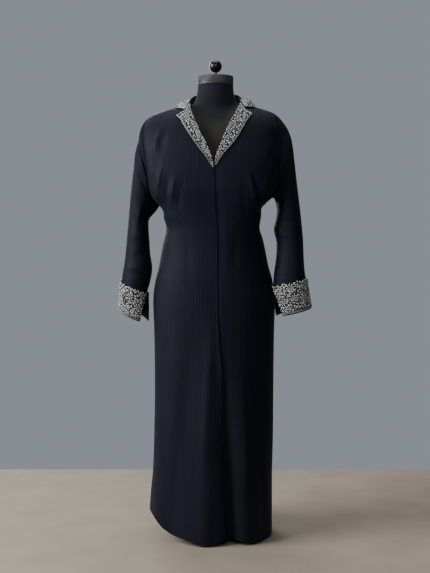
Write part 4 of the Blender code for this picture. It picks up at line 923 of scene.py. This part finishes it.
def dress_seams(points, normals, back, sides):
    """Sets the places, directions and gaps along a panel's side seams, armholes and shoulder seams.
    sides pairs a column of the grid with the side of the body that it lies on."""
    toward = 1.0 if back else -1.0
    top = points[-1]
    for j in np.flatnonzero(np.abs(top[:, 0]) >= NECK_HALF - 1e-6):
        tip = BODY_AT["right" if top[j, 0] < 0 else "left"][-1]
        share = ((abs(top[j, 0]) - NECK_HALF) / (tip - NECK_HALF)) ** 2
        sideways, upward = np.array(NECK_NORMAL) * (1 - share) + np.array(TIP_NORMAL) * share
        normals[-1, j] = unit(np.array([math.copysign(sideways, top[j, 0]), 0.0, upward]))
        points[-1, j, 1] += toward * SEAM / 2
    for column, side in sides:
        seam = armhole(side)
        for i, station in enumerate(body_rows()):
            if station < UNDERARM_ROW:
                blend = ease(station - UNDERARM_ROW + 1)
                down = blend * UNDERARM_NORMAL[1] / UNDERARM_NORMAL[0]
                points[i, column] = seam_point(side, back, station)
                points[i, column, 1] = toward * SEAM / 2
                normals[i, column] = unit(np.array([side, 0.0, down]))
            else:
                place, _, _, across, out = seam[back, station]
                points[i, column] = place - across * SEAM / 2
                if station in (UNDERARM_ROW, BODY_TOP):
                    points[i, column, 1] += toward * SEAM / 2
                normals[i, column] = out
    return points, normals


def front_edge(row, column):
    """Where a front ends towards the middle at a level."""
    return float(smooth(row["mid_z"], EDGES_AT["z"], EDGES_AT[column]))


def sink(points, normals):
    """Moves the left front in, where it runs under the right one."""
    edge = smooth(points[..., 2], EDGES_AT["z"], EDGES_AT["over_x"])
    below = ease((BREAK_Z + UNDERLAP_TOP - points[..., 2]) / UNDERLAP_TOP)
    under = ease((edge + OVERLAP_RISE - points[..., 0]) / OVERLAP_RISE) * below
    loose = LOOSE_UNDERLAP * ease((LOOSE_FROM - points[..., 2]) / LOOSE_RISE)
    return points - normals * (under * (CLOTH + UNDERLAP_GAP + loose))[..., None]


def spot(station, back, x):
    """The point of a panel's surface at a station and a distance across."""
    curve = section(station, back)
    line = np.array([[np.interp(x, curve[:, 0], column) for column in curve.T]])
    return fold(line, level(station)["side_z"], back)[0]


def arcs(points, axis):
    """Distances along a grid's lines from their first point."""
    steps = np.linalg.norm(np.diff(points, axis=axis), axis=2)
    first = np.zeros_like(np.take(steps, [0], axis))
    return np.concatenate([first, np.cumsum(steps, axis=axis)], axis=axis)


def cut_size(points):
    """Width, length and area of the flat piece that a grid was cut from."""
    a, b = points[1:, 1:] - points[:-1, :-1], points[1:, :-1] - points[:-1, 1:]
    area = float(np.linalg.norm(np.cross(a, b), axis=-1).sum() / 2)
    width, length = float(arcs(points, 1)[:, -1].max()), float(arcs(points, 0)[-1].mean())
    return (width, length), min(area, width * length)


def mesh_of(name, bm):
    """A mesh of what was modelled."""
    mesh = bpy.data.meshes.new(name)
    bm.to_mesh(mesh)
    bm.free()
    return mesh


def lay_flat(mesh, flat):
    """Gives each corner of a mesh its point's place on the flat cloth."""
    corners = np.zeros(len(mesh.loops), int)
    mesh.loops.foreach_get("vertex_index", corners)
    mesh.uv_layers.new(name="cloth").data.foreach_set("uv", flat[corners].ravel())


def shown(name, data, *finishes):
    """Puts a mesh, a light or a camera in the scene."""
    for finish in finishes:
        data.materials.append(finish)
    made = bpy.data.objects.new(name, data)
    bpy.context.scene.collection.objects.link(made)
    return made


def wall(name, points, normals, thickness, flat, finish):
    """A closed cloth wall: its outer face runs through the grid of points and its inner face lies within.
    flat holds each point's place on the cut cloth, in metres, which its weave follows."""
    rows, cols = points.shape[0] - 1, points.shape[1] - 1
    bm = bmesh.new()
    bmesh.ops.create_grid(bm, x_segments=cols, y_segments=rows, size=0.5)
    bmesh.ops.extrude_face_region(bm, geom=bm.faces[:])
    bm.verts.ensure_lookup_table()
    place, seen = np.zeros((len(bm.verts), 2), int), set()
    for vert in bm.verts:
        j, i = round((vert.co.x + 0.5) * cols), round((vert.co.y + 0.5) * rows)
        inner = (i, j) in seen
        seen.add((i, j))
        place[vert.index] = i, j
        vert.co = points[i, j] - normals[i, j] * (thickness if inner else 0.0)
    bmesh.ops.recalc_face_normals(bm, faces=bm.faces[:])
    if bm.calc_volume(signed=True) < 0:
        bmesh.ops.reverse_faces(bm, faces=bm.faces[:])
    mesh = mesh_of(name, bm)
    lay_flat(mesh, flat[place[:, 0], place[:, 1]])
    mesh.shade_smooth()
    mesh.set_sharp_from_angle(angle=math.radians(CLOTH_CREASE))
    return shown(name, mesh, finish)


def declared(piece, points, node):
    """Hides the imported solid of a cloth piece's node, works out its cut, and lets the piece ride on the
    form.
    """
    flat, area = cut_size(points)
    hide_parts(node)
    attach(piece, "root")
    return piece


def weave(points, start=0.0):
    """Places on the cut cloth: across, from where each row of the grid starts, and up from its last row."""
    across = np.reshape(start, (-1, 1)) + arcs(points, 1)
    down = arcs(points, 0).mean(axis=1)
    return np.stack([across, np.broadcast_to(down[-1] - down[:, None], across.shape)], axis=2)


def make_back():
    """The back, in one piece from side to side."""
    points = panel_grid(True, right_side, left_side, BACK_COLUMNS)
    normals = outward(points, MIDDLE)
    points, normals = dress_seams(points, normals, True, ((0, -1), (-1, 1)))
    lengths = arcs(points, 1)
    middle = np.array([np.interp(0.0, row[:, 0], length) for row, length in zip(points, lengths)])
    piece = wall("back_panel", points, normals, CLOTH, weave(points, -middle), CREPE)
    return declared(piece, points, "back")


def make_front(name, node, column, side):
    """A front: the wearer's right one (side -1) lies on top, and the left one runs under."""

    def free_edge(row):
        return front_edge(row, column)

    ends = (right_side, free_edge) if side < 0 else (free_edge, left_side)
    points = panel_grid(False, *ends, FRONT_COLUMNS)
    normals = outward(points, MIDDLE)
    if side > 0:
        points = sink(points, normals)
    points, normals = dress_seams(points, normals, False, ((0, -1),) if side < 0 else ((-1, 1),))
    edge = points[:, -1 if side < 0 else 0, 0]
    start = edge - arcs(points, 1)[:, -1] if side < 0 else edge
    piece = wall(name, points, normals, CLOTH, weave(points, start), CREPE)
    return declared(piece, points, node)


# ---------------------------------------------------------------- sleeves


def sleeve_columns(side):
    """The armhole's points, each once: the front's and back's shoulder tips are one column."""
    found = [(back, seam) for (back, _), seam in armhole(side).items()]
    tip = next(i for i, (back, _) in enumerate(found) if back)
    return found[:tip] + found[tip + 1 :]


def sleeve_grid(table, side, stations):
    """Points of a sleeve at these stations, going round from its seam edge in front to that behind."""
    data, seams = columns(table), sleeve_columns(side)
    grid = []
    for station in stations:
        at = at_row(data, station)
        inner = np.array([side * at["in_x"], -at["forward"], at["in_z"]])
        outer = np.array([side * at["out_x"], -at["forward"], at["out_z"]])
        line = []
        for back, (on_seam, on_chord, climb, _, _) in seams:
            climb = climb if back else at["slit"] + (1 - at["slit"]) * climb
            base = inner + (outer - inner) * (1 - math.cos(math.pi * climb)) / 2
            reach = (1 if back else -1) * math.sin(math.pi * climb)
            kept = at["armhole"]
            free = np.array([0.0, at["half_depth"] * reach, at["droop"] * reach])
            line.append(base + kept * (on_seam - on_chord) + (1 - kept) * free)
        grid.append(line)
    return np.array(grid)


def make_sleeve(name, node, table, wrinkles, side):
    """A sleeve from the armhole to its hem, closed along its seam as far as the slit at the cuff."""
    stations = np.linspace(0, len(table) - 2, SLEEVE_ROWS + 1)
    points = sleeve_grid(table, side, stations)
    points = wrinkled(points, outward_round(points), wrinkles)
    normals = outward_round(points)
    for j, (_, (_, _, _, across, out)) in enumerate(sleeve_columns(side)):
        normals[0, j] = out
        points[0, j] += across * SEAM
    # The two edges meet along the sleeve's own seam, a gap apart, and share one direction there.
    for i in np.flatnonzero(stations < CUFF_ROW - 0.5):
        normals[i, 0] = normals[i, -1] = unit(normals[i, 0] + normals[i, -1])
        points[i, 0, 1] -= SEAM / 2
        points[i, -1, 1] += SEAM / 2
    piece = wall(name, points, normals, CLOTH, weave(points, -arcs(points, 1)[:, -1] / 2), CREPE)
    return declared(piece, points, node)


def cuff_grid(table, side):
    """The cuff lies outside the sleeve's end and flares a little towards its upper edge."""
    end = len(table) - 2 - CUFF_RISE / CUFF_ROW_HEIGHT
    points = sleeve_grid(table, side, np.linspace(CUFF_ROW, end, CUFF_ROWS + 1))
    normals = outward_round(points)
    flare = np.linspace(1, 0, CUFF_ROWS + 1)[:, None, None] * CUFF_FLARE
    return points + normals * (2 * SEAM + TRIM + SEAM_RISE + flare), normals


def lapel_grid(column, break_z):
    """A lapel lies on its front, from the roll line to its free edge, and stands off it a little."""
    tops = columns(LAPEL_TOPS)
    across, climbs = np.linspace(0, 1, LAPEL_COLUMNS + 1), np.linspace(0, 1, LAPEL_ROWS + 1)
    low = station_of(break_z)
    heights = smooth(across, tops["share"], tops[column.replace("_x", "_z")])
    rows = []
    for climb in climbs:
        line = []
        for share, height in zip(across, heights):
            station = low + (station_of(float(height)) - low) * climb
            row = level(station)
            inner = front_edge(row, column)
            outer = float(smooth(row["mid_z"], LAPEL_AT["z"], LAPEL_AT[column]))
            line.append(spot(station, False, inner + (outer - inner) * share))
        rows.append(line)
    points = np.array(rows)
    normals = outward(points, MIDDLE)
    stand = LAPEL_LIE + (LAPEL_ROLL - LAPEL_LIE) * (1 - across) ** 2
    off = SEAM + TRIM + stand[None, :] * ease(4 * climbs)[:, None]
    return points + normals * off[..., None], normals


def collar_grids():
    """The black stand rises from the neckline to the fold, and the embroidered fall drops from it."""
    data = columns(COLLAR)
    knots, shares = np.linspace(0, 1, len(COLLAR) - 1), np.linspace(0, 1, COLLAR_LENGTHS + 1)
    at = {name: smooth(shares, knots, values) for name, values in data.items()}
    seam, crest, edge = (
        np.stack([at[f"{part}_{axis}"] for axis in "xyz"], axis=1) for part in ("seam", "fold", "edge")
    )
    rise = np.linspace(0, 1, STAND_RINGS + 1)[:, None, None]
    stand = seam + (crest - seam) * rise
    stand_normals = outward(stand, STAND_CORE)

    # The fall turns over the stand's top edge in its first two rings.
    out = np.linspace(0, 1, FALL_RINGS)[:, None, None]
    start = crest + stand_normals[-1] * (TRIM + 3 * SEAM) + np.array([0.0, 0.0, 4 * SEAM])
    fall = start + (edge - start) * out
    up = unit(np.cross(np.gradient(fall, axis=1), np.gradient(fall, axis=0)))
    up = np.where(up[..., 2:] < 0, -up, up)
    fall = fall + up * at["arch"][None, :, None] * np.sin(math.pi * out)
    notch = np.minimum(out / NOTCH_SHARE, (1 - out) / (1 - NOTCH_SHARE))
    sides = np.sign(at["edge_x"])
    dip = np.stack([sides, np.ones_like(sides), np.ones_like(sides)], axis=1) * NOTCH_DIP
    fall = fall + notch * at["dip"][None, :, None] * dip
    over = crest - stand_normals[-1] * CLOTH + np.array([0.0, 0.0, TRIM + 5 * SEAM])
    fall = np.concatenate([over[None], fall])
    fall_normals = outward(fall, FALL_CORE)
    fall_normals[0] = (0.0, 0.0, 1.0)
    fall_normals[1] = unit(stand_normals[-1] + np.array([0.0, 0.0, 1.0]))
    return (stand, stand_normals), (fall, fall_normals)


# ---------------------------------------------------------------- embroidery


class Ground:
    """A trim seen as flat cloth: v runs along it, and u runs in from its free edge. Both are in metres."""

    def __init__(self, points, normals):
        self.points, self.normals = points, normals  # axis 0 is along, axis 1 in from the free edge
        self.inward = arcs(points, 1)
        middle = points.shape[1] // 2
        self.along = arcs(points, 0)[:, middle]
        self.length = float(self.along[-1])

    def width(self, v):
        """How far the trim reaches in from its free edge here."""
        return float(np.interp(v, self.along, self.inward[:, -1]))

    def place(self, uv):
        """Points and outward directions of the cloth at flat places, also a little beyond its edges."""
        u, v = uv[:, 0], np.clip(uv[:, 1], 0, self.length)
        row = np.clip(np.interp(v, self.along, np.arange(len(self.along))), 0, len(self.along) - 1.0001)
        i, t = row.astype(int), (row % 1)[:, None]
        widths = self.inward[i] * (1 - t) + self.inward[i + 1] * t
        j = np.clip((widths <= u[:, None]).sum(axis=1) - 1, 0, widths.shape[1] - 2)
        near, far = widths[np.arange(len(j)), j], widths[np.arange(len(j)), j + 1]
        s = ((u - near) / np.maximum(far - near, 1e-6))[:, None]
        found = []
        for grid in (self.points, self.normals):
            low = grid[i, j] * (1 - s) + grid[i, j + 1] * s
            high = grid[i + 1, j] * (1 - s) + grid[i + 1, j + 1] * s
            found.append(low * (1 - t) + high * t)
        return found[0], unit(found[1])


class Stitching:
    """Gathers many small raised shapes on one ground, and makes one piece of them."""

    def __init__(self, ground):
        self.ground, self.verts, self.faces, self.marks, self.kinds, self.count = ground, [], [], [], [], 0

    def add(self, shape, u, v, turn, size, kind, lift=0.0):
        """Places a shape, turned and sized, with its own sewing direction kept for its thread."""
        points, faces = shape
        c, s = math.cos(turn), math.sin(turn)
        flat = np.column_stack([u + size * (points[:, 0] * c - points[:, 1] * s),
                                v + size * (points[:, 0] * s + points[:, 1] * c)])
        place, normal = self.ground.place(flat)
        height = lift + points[:, 2] * min(size, STITCH_UNIT)
        self.put(place + normal * height[:, None], faces, points[:, :2] * size, kind)

    def put(self, verts, faces, marks, kind):
        """Adds a shape's points and faces, the points' places along its stitches, and its thread."""
        self.verts.append(verts)
        self.marks.append(marks)
        self.faces += [[n + self.count for n in face] for face in faces]
        self.kinds += [kind] * len(faces)
        self.count += len(verts)

    def cord(self, flat, radius, kind):
        """A round cord along a line of flat places."""
        place, normal = self.ground.place(flat)
        tangent = unit(np.gradient(place, axis=0))
        side = unit(np.cross(tangent, normal))
        bm = bmesh.new()
        bmesh.ops.create_grid(bm, x_segments=CORD_SIDES, y_segments=len(flat) - 1, size=0.5)
        length = arcs(place[:, None], 0)[:, 0]
        for vert in bm.verts:
            turn, i = (vert.co.x + 0.5) * math.tau, round((vert.co.y + 0.5) * (len(flat) - 1))
            centre = place[i] + normal[i] * (radius * CORD_STAND)
            vert.co = centre + radius * (normal[i] * math.cos(turn) + side[i] * math.sin(turn))
        bmesh.ops.remove_doubles(bm, verts=bm.verts[:], dist=1e-7)
        bmesh.ops.holes_fill(bm, edges=[edge for edge in bm.edges if edge.is_boundary])
        bmesh.ops.recalc_face_normals(bm, faces=bm.faces[:])
        verts, faces = template(bm)
        nearest = np.array([np.argmin(((place - vert) ** 2).sum(axis=1)) for vert in verts])
        marks = np.column_stack([length[nearest], ((verts - place[nearest]) * side[nearest]).sum(axis=1)])
        self.put(verts, faces, marks, kind)

    def piece(self, name):
        """All the shapes as one piece, which rides on the form with its trim."""
        mesh = bpy.data.meshes.new(name)
        mesh.from_pydata(np.vstack(self.verts), [], self.faces)
        mesh.polygons.foreach_set("material_index", self.kinds)
        lay_flat(mesh, np.vstack(self.marks))
        mesh.shade_smooth()
        made = shown(name, mesh, *THREADS)
        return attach(made, "root")


def template(bm):
    """A small shape's points and faces, for placing many times."""
    bm.verts.index_update()
    points = np.array([vert.co[:] for vert in bm.verts])
    faces = [[vert.index for vert in face.verts] for face in bm.faces]
    bm.free()
    return points, faces


def pad(length, width, height, taper=0.0, point=0.0, around=8):
    """A satin-stitched pad, one unit across its larger side: round, tapered as a petal, or pointed as a
    leaf. Its underside is sunk a little into the ground."""
    bm = bmesh.new()
    bmesh.ops.create_uvsphere(bm, u_segments=around, v_segments=5, radius=1.0)
    for vert in bm.verts:
        x, y, z = vert.co
        slim = (1 + taper * x) * (1 - point * x * x)
        vert.co = (x * length / 2, y * width / 2 * slim, z * height if z > 0 else z * 0.06)
    return template(bm)


def arc(radius, thickness, sweep):
    """A raised line of stitches on a part of a circle about the origin."""
    bm = bmesh.new()
    upright = Matrix.Translation((radius, 0.0, thickness * 0.4)) @ Matrix.Rotation(math.pi / 2, 4, "X")
    bmesh.ops.create_circle(bm, cap_ends=True, segments=5, radius=thickness, matrix=upright)
    steps = max(4, round(sweep / ARC_STEP))
    bmesh.ops.spin(bm, geom=bm.faces[:] + bm.edges[:] + bm.verts[:], cent=(0, 0, 0), axis=(0, 0, 1),
                   angle=sweep, steps=steps, use_duplicate=False)
    bmesh.ops.recalc_face_normals(bm, faces=bm.faces[:])
    return template(bm)


IVORY_THREAD, ROSE_THREAD, GREY_THREAD, SILVER_CORD = range(4)
PETAL = pad(1.0, 0.86, 0.13, taper=0.26)
LONG_PETAL = pad(1.0, 0.52, 0.13, taper=0.20)
LEAF = pad(1.0, 0.43, 0.13, point=0.66)
SEED = pad(1.0, 1.0, 0.26, around=6)
EYE = pad(1.0, 1.0, 0.20, around=10)

# Rings of petals: petal, distance out and size as shares of the flower's radius, twist, count and lift.
# Eyes: size as a share of the radius, and lift.
FULL_RINGS = ((LONG_PETAL, 0.73, 0.56, 0.0, 8, 0.0), (PETAL, 0.30, 0.24, 0.3, 5, 0.0002))
FULL_EYE = (0.26, 0.0004)
SMALL_RINGS = {petals: ((PETAL, 0.62, 0.94 - 0.055 * petals, 0.0, petals, 0.0),) for petals in (5, 6)}
SMALL_EYE = (0.40, 0.0003)


def flower(work, u, v, radius, turn, heart, rings, eye):
    """Rings of petals, each set evenly round the middle and pointing outward, about a padded eye."""
    for shape, reach, size, twist, count, lift in rings:
        for k in range(count):
            way, out = turn + twist + math.tau * k / count, radius * reach
            place = u + out * math.cos(way), v + out * math.sin(way)
            work.add(shape, *place, way, radius * size, IVORY_THREAD, lift)
    work.add(EYE, u, v, 0.0, radius * eye[0], heart, eye[1])


def scrolls(work, u, v, radius, turn, sweep):
    """Two concentric curved lines beside a flower, which end in small curls."""
    for share, gap in SCROLLS:
        span, reach = sweep * share, radius + gap
        line = arc(reach / STITCH_UNIT, SCROLL_THREAD / STITCH_UNIT, span)
        work.add(line, u, v, turn - span / 2, STITCH_UNIT, IVORY_THREAD)
        tip = turn + span / 2
        work.add(SEED, u + reach * math.cos(tip), v + reach * math.sin(tip), 0.0, SCROLL_CURL, GREY_THREAD)


def free_disc(taken, u, v, radius):
    """Whether a round place touches none of those that are taken."""
    return all(math.hypot(u - a, v - b) > radius + r for a, b, r in taken)


def embroider(ground, margin, over, draw, blooms):
    """Covers a ground with flowers, scrolls, leaves and seeds that grow round one another.
    margin is kept clear along the free edge; over is how far flowers may reach beyond the other edge."""
    work, taken = Stitching(ground), []

    def fits(u, v, radius):
        inside = margin < u - radius * 0.5 and u < ground.width(v) + over and 0 < v < ground.length
        return inside and free_disc(taken, u, v, radius)

    def tries(count, radius, beyond):
        for _ in range(round(count)):
            v = draw.uniform(radius, max(radius, ground.length - radius))
            low, high = margin + radius, ground.width(v) - radius + beyond
            u = draw.uniform(low, max(low, high))
            if high >= low and free_disc(taken, u, v, radius):
                yield u, v

    for radius, count, curls in FLOWERS:
        for u, v in tries(count * blooms, radius, over):
            turn, heart = draw.uniform(0, math.tau), draw.choice((ROSE_THREAD, GREY_THREAD, IVORY_THREAD))
            full = radius > FULL_FLOWER
            rings = FULL_RINGS if full else SMALL_RINGS[draw.choice((5, 6))]
            flower(work, u, v, radius, turn, heart, rings, FULL_EYE if full else SMALL_EYE)
            if draw.random() < curls:
                scrolls(work, u, v, radius, draw.uniform(0, math.tau), draw.uniform(1.2, 2.6))
            taken.append((u, v, radius * FLOWER_RIM))
    for radius, length, count in LEAVES:
        for u, v in tries(count * blooms, radius, over * 0.5):
            near = min(taken, key=lambda disc: math.hypot(u - disc[0], v - disc[1]) - disc[2])
            turn = math.atan2(v - near[1], u - near[0]) + draw.uniform(0.9, 2.2)
            reach_u, reach_v = length * LEAF_ENDS * math.cos(turn), length * LEAF_ENDS * math.sin(turn)
            spots = [(u + k * reach_u, v + k * reach_v) for k in (-1, 0, 1)]
            if all(fits(a, b, radius) for a, b in spots):
                work.add(LEAF, u, v, turn, length, IVORY_THREAD if draw.random() < 0.85 else GREY_THREAD)
                taken.extend((a, b, radius) for a, b in spots)
    radius, size, count = SEEDS
    for u, v in tries(count * blooms, radius, 0.0):
        work.add(SEED, u, v, 0.0, size, GREY_THREAD if draw.random() < 0.3 else IVORY_THREAD)
        taken.append((u, v, SEED_RIM))
    return work


def border(work, far_end, near_end):
    """The silver cord along a trim's free edge, a finer one inside it, and one across either end."""
    length = work.ground.length
    v = np.linspace(CORD_INSET, length - CORD_INSET, max(SHORTEST_CORD, round(length / CORD_STEP)))
    for u, radius, kind in (
        (CORD_EDGE, CORD_RADIUS, SILVER_CORD),
        (SECOND_CORD, SECOND_RADIUS, IVORY_THREAD),
    ):
        work.cord(np.column_stack([np.full(len(v), u), v]), radius, kind)
    for wanted, end in ((near_end, CORD_EDGE), (far_end, length - CORD_EDGE)):
        if wanted:
            u = np.linspace(CORD_EDGE, work.ground.width(end), SHORTEST_CORD)
            work.cord(np.column_stack([u, np.full(len(u), end)]), CORD_RADIUS, SILVER_CORD)


def trimmed(name, points, normals, ground, seed, blooms, margin, over, ends=(False, False)):
    """A trim: its dark ground cloth, and its embroidery and cords as one more piece on it. ends says
    whether a cord crosses the far and the near end."""
    piece = wall(f"{name}_ground", points, normals, TRIM, weave(points), TRIM_GROUND)
    work = embroider(ground, margin, over, random.Random(seed), blooms)
    border(work, *ends)
    stitches = work.piece(f"{name}_embroidery")
    return declared(piece, points, name)


def inward_rows(grid):
    """A grid turned so that its rows run in from its lower or outer edge."""
    return grid[::-1].transpose(1, 0, 2)


def make_lapel(side, column, break_z, seed):
    """An embroidered lapel, with a cord across its upper end."""
    points, normals = lapel_grid(column, break_z)
    ground = Ground(points[:, ::-1], normals[:, ::-1])
    trimmed(f"lapel_{side}", points, normals, ground, seed, blooms=10,
            margin=0.0060, over=0.002, ends=(True, False))


def make_cuff(name, table, side, seed):
    """A turned-back embroidered cuff."""
    points, normals = cuff_grid(table, side)
    ground = Ground(inward_rows(points), inward_rows(normals))
    trimmed(f"cuff_{name}", points, normals, ground, seed, blooms=40,
            margin=0.0064, over=0.0045)


def make_collar(seed):
    """The plain stand of the collar and its embroidered fall."""
    (stand, stand_normals), (fall, fall_normals) = collar_grids()
    piece = wall("collar_stand_panel", stand, stand_normals, CLOTH, weave(stand), CREPE)
    declared(piece, stand, "collar_stand")
    ground = Ground(inward_rows(fall[1:]), inward_rows(fall_normals[1:]))
    trimmed("collar_fall", fall, fall_normals, ground, seed, blooms=30,
            margin=0.0064, over=0.001, ends=(True, True))


# ---------------------------------------------------------------- dress form


def formed(name, bm, finish, node, crease_angle):
    """Puts a hard piece of the form in the scene in place of its node."""
    mesh = mesh_of(name, bm)
    mesh.shade_smooth()
    mesh.set_sharp_from_angle(angle=math.radians(crease_angle))
    piece = shown(name, mesh, finish)
    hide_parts(node)
    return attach(piece, "root")


def make_torso():
    """The covered body of the form: one smooth closed shape from the hips to the top of the neck."""
    data = columns(TORSO)
    bm = bmesh.new()
    bmesh.ops.create_uvsphere(bm, u_segments=TORSO_SIDES, v_segments=TORSO_RINGS + 2, radius=1.0)
    for vert in bm.verts:
        x, y, z = vert.co
        pole = math.hypot(x, y) < 1e-4
        ring = (math.acos(max(-1.0, min(1.0, -z))) / math.pi) * (TORSO_RINGS + 2)
        at = at_row(data, np.clip((ring - 1) / TORSO_RINGS, 0, 1) * (len(TORSO) - 2))
        turn = math.atan2(y, x)
        power = 2 / at["square"]
        reach = 0.0 if pole else 1.0
        depth = at["back"] if y > 0 else at["front"]
        vert.co.x = reach * at["half"] * math.copysign(abs(math.cos(turn)) ** power, math.cos(turn))
        vert.co.y = reach * depth * math.copysign(abs(math.sin(turn)) ** power, math.sin(turn))
        vert.co.z = at["z"]
    formed("form_body", bm, JERSEY, "form_torso", FORM_CREASE)


def turned(name, profile, finish, node):
    """A shape turned about the Z axis. The profile is (radius, height) pairs from top to bottom."""
    bm = bmesh.new()
    verts = [bm.verts.new((radius, 0.0, height)) for radius, height in profile]
    edges = [bm.edges.new(pair) for pair in zip(verts, verts[1:])]
    bmesh.ops.spin(
        bm, geom=verts + edges, cent=(0, 0, 0), axis=(0, 0, 1), angle=math.tau,
        steps=ROUND_SIDES, use_merge=True, use_duplicate=False,
    )
    bmesh.ops.remove_doubles(bm, verts=bm.verts[:], dist=1e-6)
    bmesh.ops.recalc_face_normals(bm, faces=bm.faces[:])
    formed(name, bm, finish, node, TURNED_CREASE)


def make_stand():
    """Neck cap, knob, pole and foot of the form."""
    neck = columns(TORSO)
    top = neck["z"][-1]
    cap_low, cap_high = top + SEAM, top + SEAM + CAP_HEIGHT
    bm = bmesh.new()
    bmesh.ops.create_cone(
        bm, cap_ends=True, segments=ROUND_SIDES, radius1=1.0, radius2=1.0, depth=cap_high - cap_low
    )
    depth = (neck["front"][-1] + neck["back"][-1]) / 2
    for vert in bm.verts:
        vert.co.x *= neck["half"][-1] + CAP_OVERHANG
        vert.co.y = vert.co.y * depth + (neck["back"][-1] - neck["front"][-1]) / 2
        vert.co.z += (cap_high + cap_low) / 2
    rims = [edge for edge in bm.edges if abs(edge.verts[0].co.z - edge.verts[1].co.z) < 1e-6]
    bmesh.ops.bevel(bm, geom=rims, offset=CAP_EDGE, segments=5, profile=0.5, affect="EDGES", material=-1)
    formed("neck_cap_turned", bm, PEWTER, "neck_cap", CAP_CREASE)

    base = cap_high + SEAM
    centre = cap_high + KNOB_HEIGHT
    start = math.asin(STEM_RADIUS / KNOB_RADIUS)
    turns = np.linspace(0, math.pi - start, KNOB_RINGS)
    ball = [(KNOB_RADIUS * math.sin(a), centre + KNOB_RADIUS * math.cos(a)) for a in turns]
    stem = [(radius, base + height) for radius, height in STEM_FLARE] + [(0.0, base)]
    turned("knob_and_stem", ball + stem, LACQUER, "knob")

    turned("stand_foot", FOOT_PROFILE, STEEL, "foot")
    low, high = HUB_HEIGHT + SEAM, neck["z"][0] - SEAM
    pole = [(0.0, high), (POLE_RADIUS, high), (POLE_RADIUS, low), (0.0, low)]
    turned("stand_pole", pole, STEEL, "pole")


# ---------------------------------------------------------------- the whole, and its studio

for side, column, break_z, seed in (
    ("right", "over_x", BREAK_Z, 11),
    ("left", "under_x", BREAK_Z + UNDER_LAPEL_STEP, 12),
):
    make_lapel(side, column, break_z, seed)
make_back()
make_front("front_left_panel", "front_left", "under_x", 1)
make_front("front_right_panel", "front_right", "over_x", -1)
for name, table, wrinkles, side, seed in (
    ("right", RIGHT_SLEEVE, RIGHT_WRINKLES, -1, 21),
    ("left", LEFT_SLEEVE, LEFT_WRINKLES, 1, 22),
):
    make_sleeve(f"sleeve_{name}_panel", f"sleeve_{name}", table, wrinkles, side)
    make_cuff(name, table, side, seed)
make_collar(31)
make_torso()
make_stand()

floor_mesh = bmesh.new()
bmesh.ops.create_grid(floor_mesh, x_segments=8, y_segments=8, size=1.0)
for corner in floor_mesh.verts:
    corner.co.x *= FLOOR_HALF
    corner.co.y = FLOOR_NEAR + (FLOOR_FAR - FLOOR_NEAR) * (corner.co.y + 1) / 2
shown("paper_floor", mesh_of("paper_floor", floor_mesh), FLOOR)

world = bpy.data.worlds.new("studio")
bpy.context.scene.world = world
world.use_nodes = True
sky = world.node_tree
sky.nodes.clear()
path = node(sky, "ShaderNodeLightPath")["Is Camera Ray"]
around = node(sky, "ShaderNodeBackground", {"Color": srgb(AMBIENT), "Strength": AMBIENT_STRENGTH})[0]
behind = node(sky, "ShaderNodeBackground", {"Color": srgb(BACKDROP), "Strength": BACKDROP_STRENGTH})[0]
mixed = node(sky, "ShaderNodeMixShader", {"Fac": path, 1: around, 2: behind})[0]
node(sky, "ShaderNodeOutputWorld", {"Surface": mixed})

for name, place, size, watts, colour in LIGHTS:
    lamp = bpy.data.lights.new(name, "AREA")
    lamp.shape, lamp.size, lamp.energy, lamp.color = "SQUARE", size, watts, srgb(colour)[:3]
    light = shown(name, lamp)
    light.location = place
    light.rotation_euler = (AIM - Vector(place)).to_track_quat("-Z", "Y").to_euler()

eye = bpy.data.cameras.new("camera")
eye.sensor_fit, eye.sensor_height, eye.lens = "VERTICAL", SENSOR, LENS
camera = shown("camera", eye)
camera.location = CAMERA_PLACE
camera.rotation_euler = (math.radians(90 - CAMERA_DIP), 0.0, 0.0)
bpy.context.scene.camera = camera
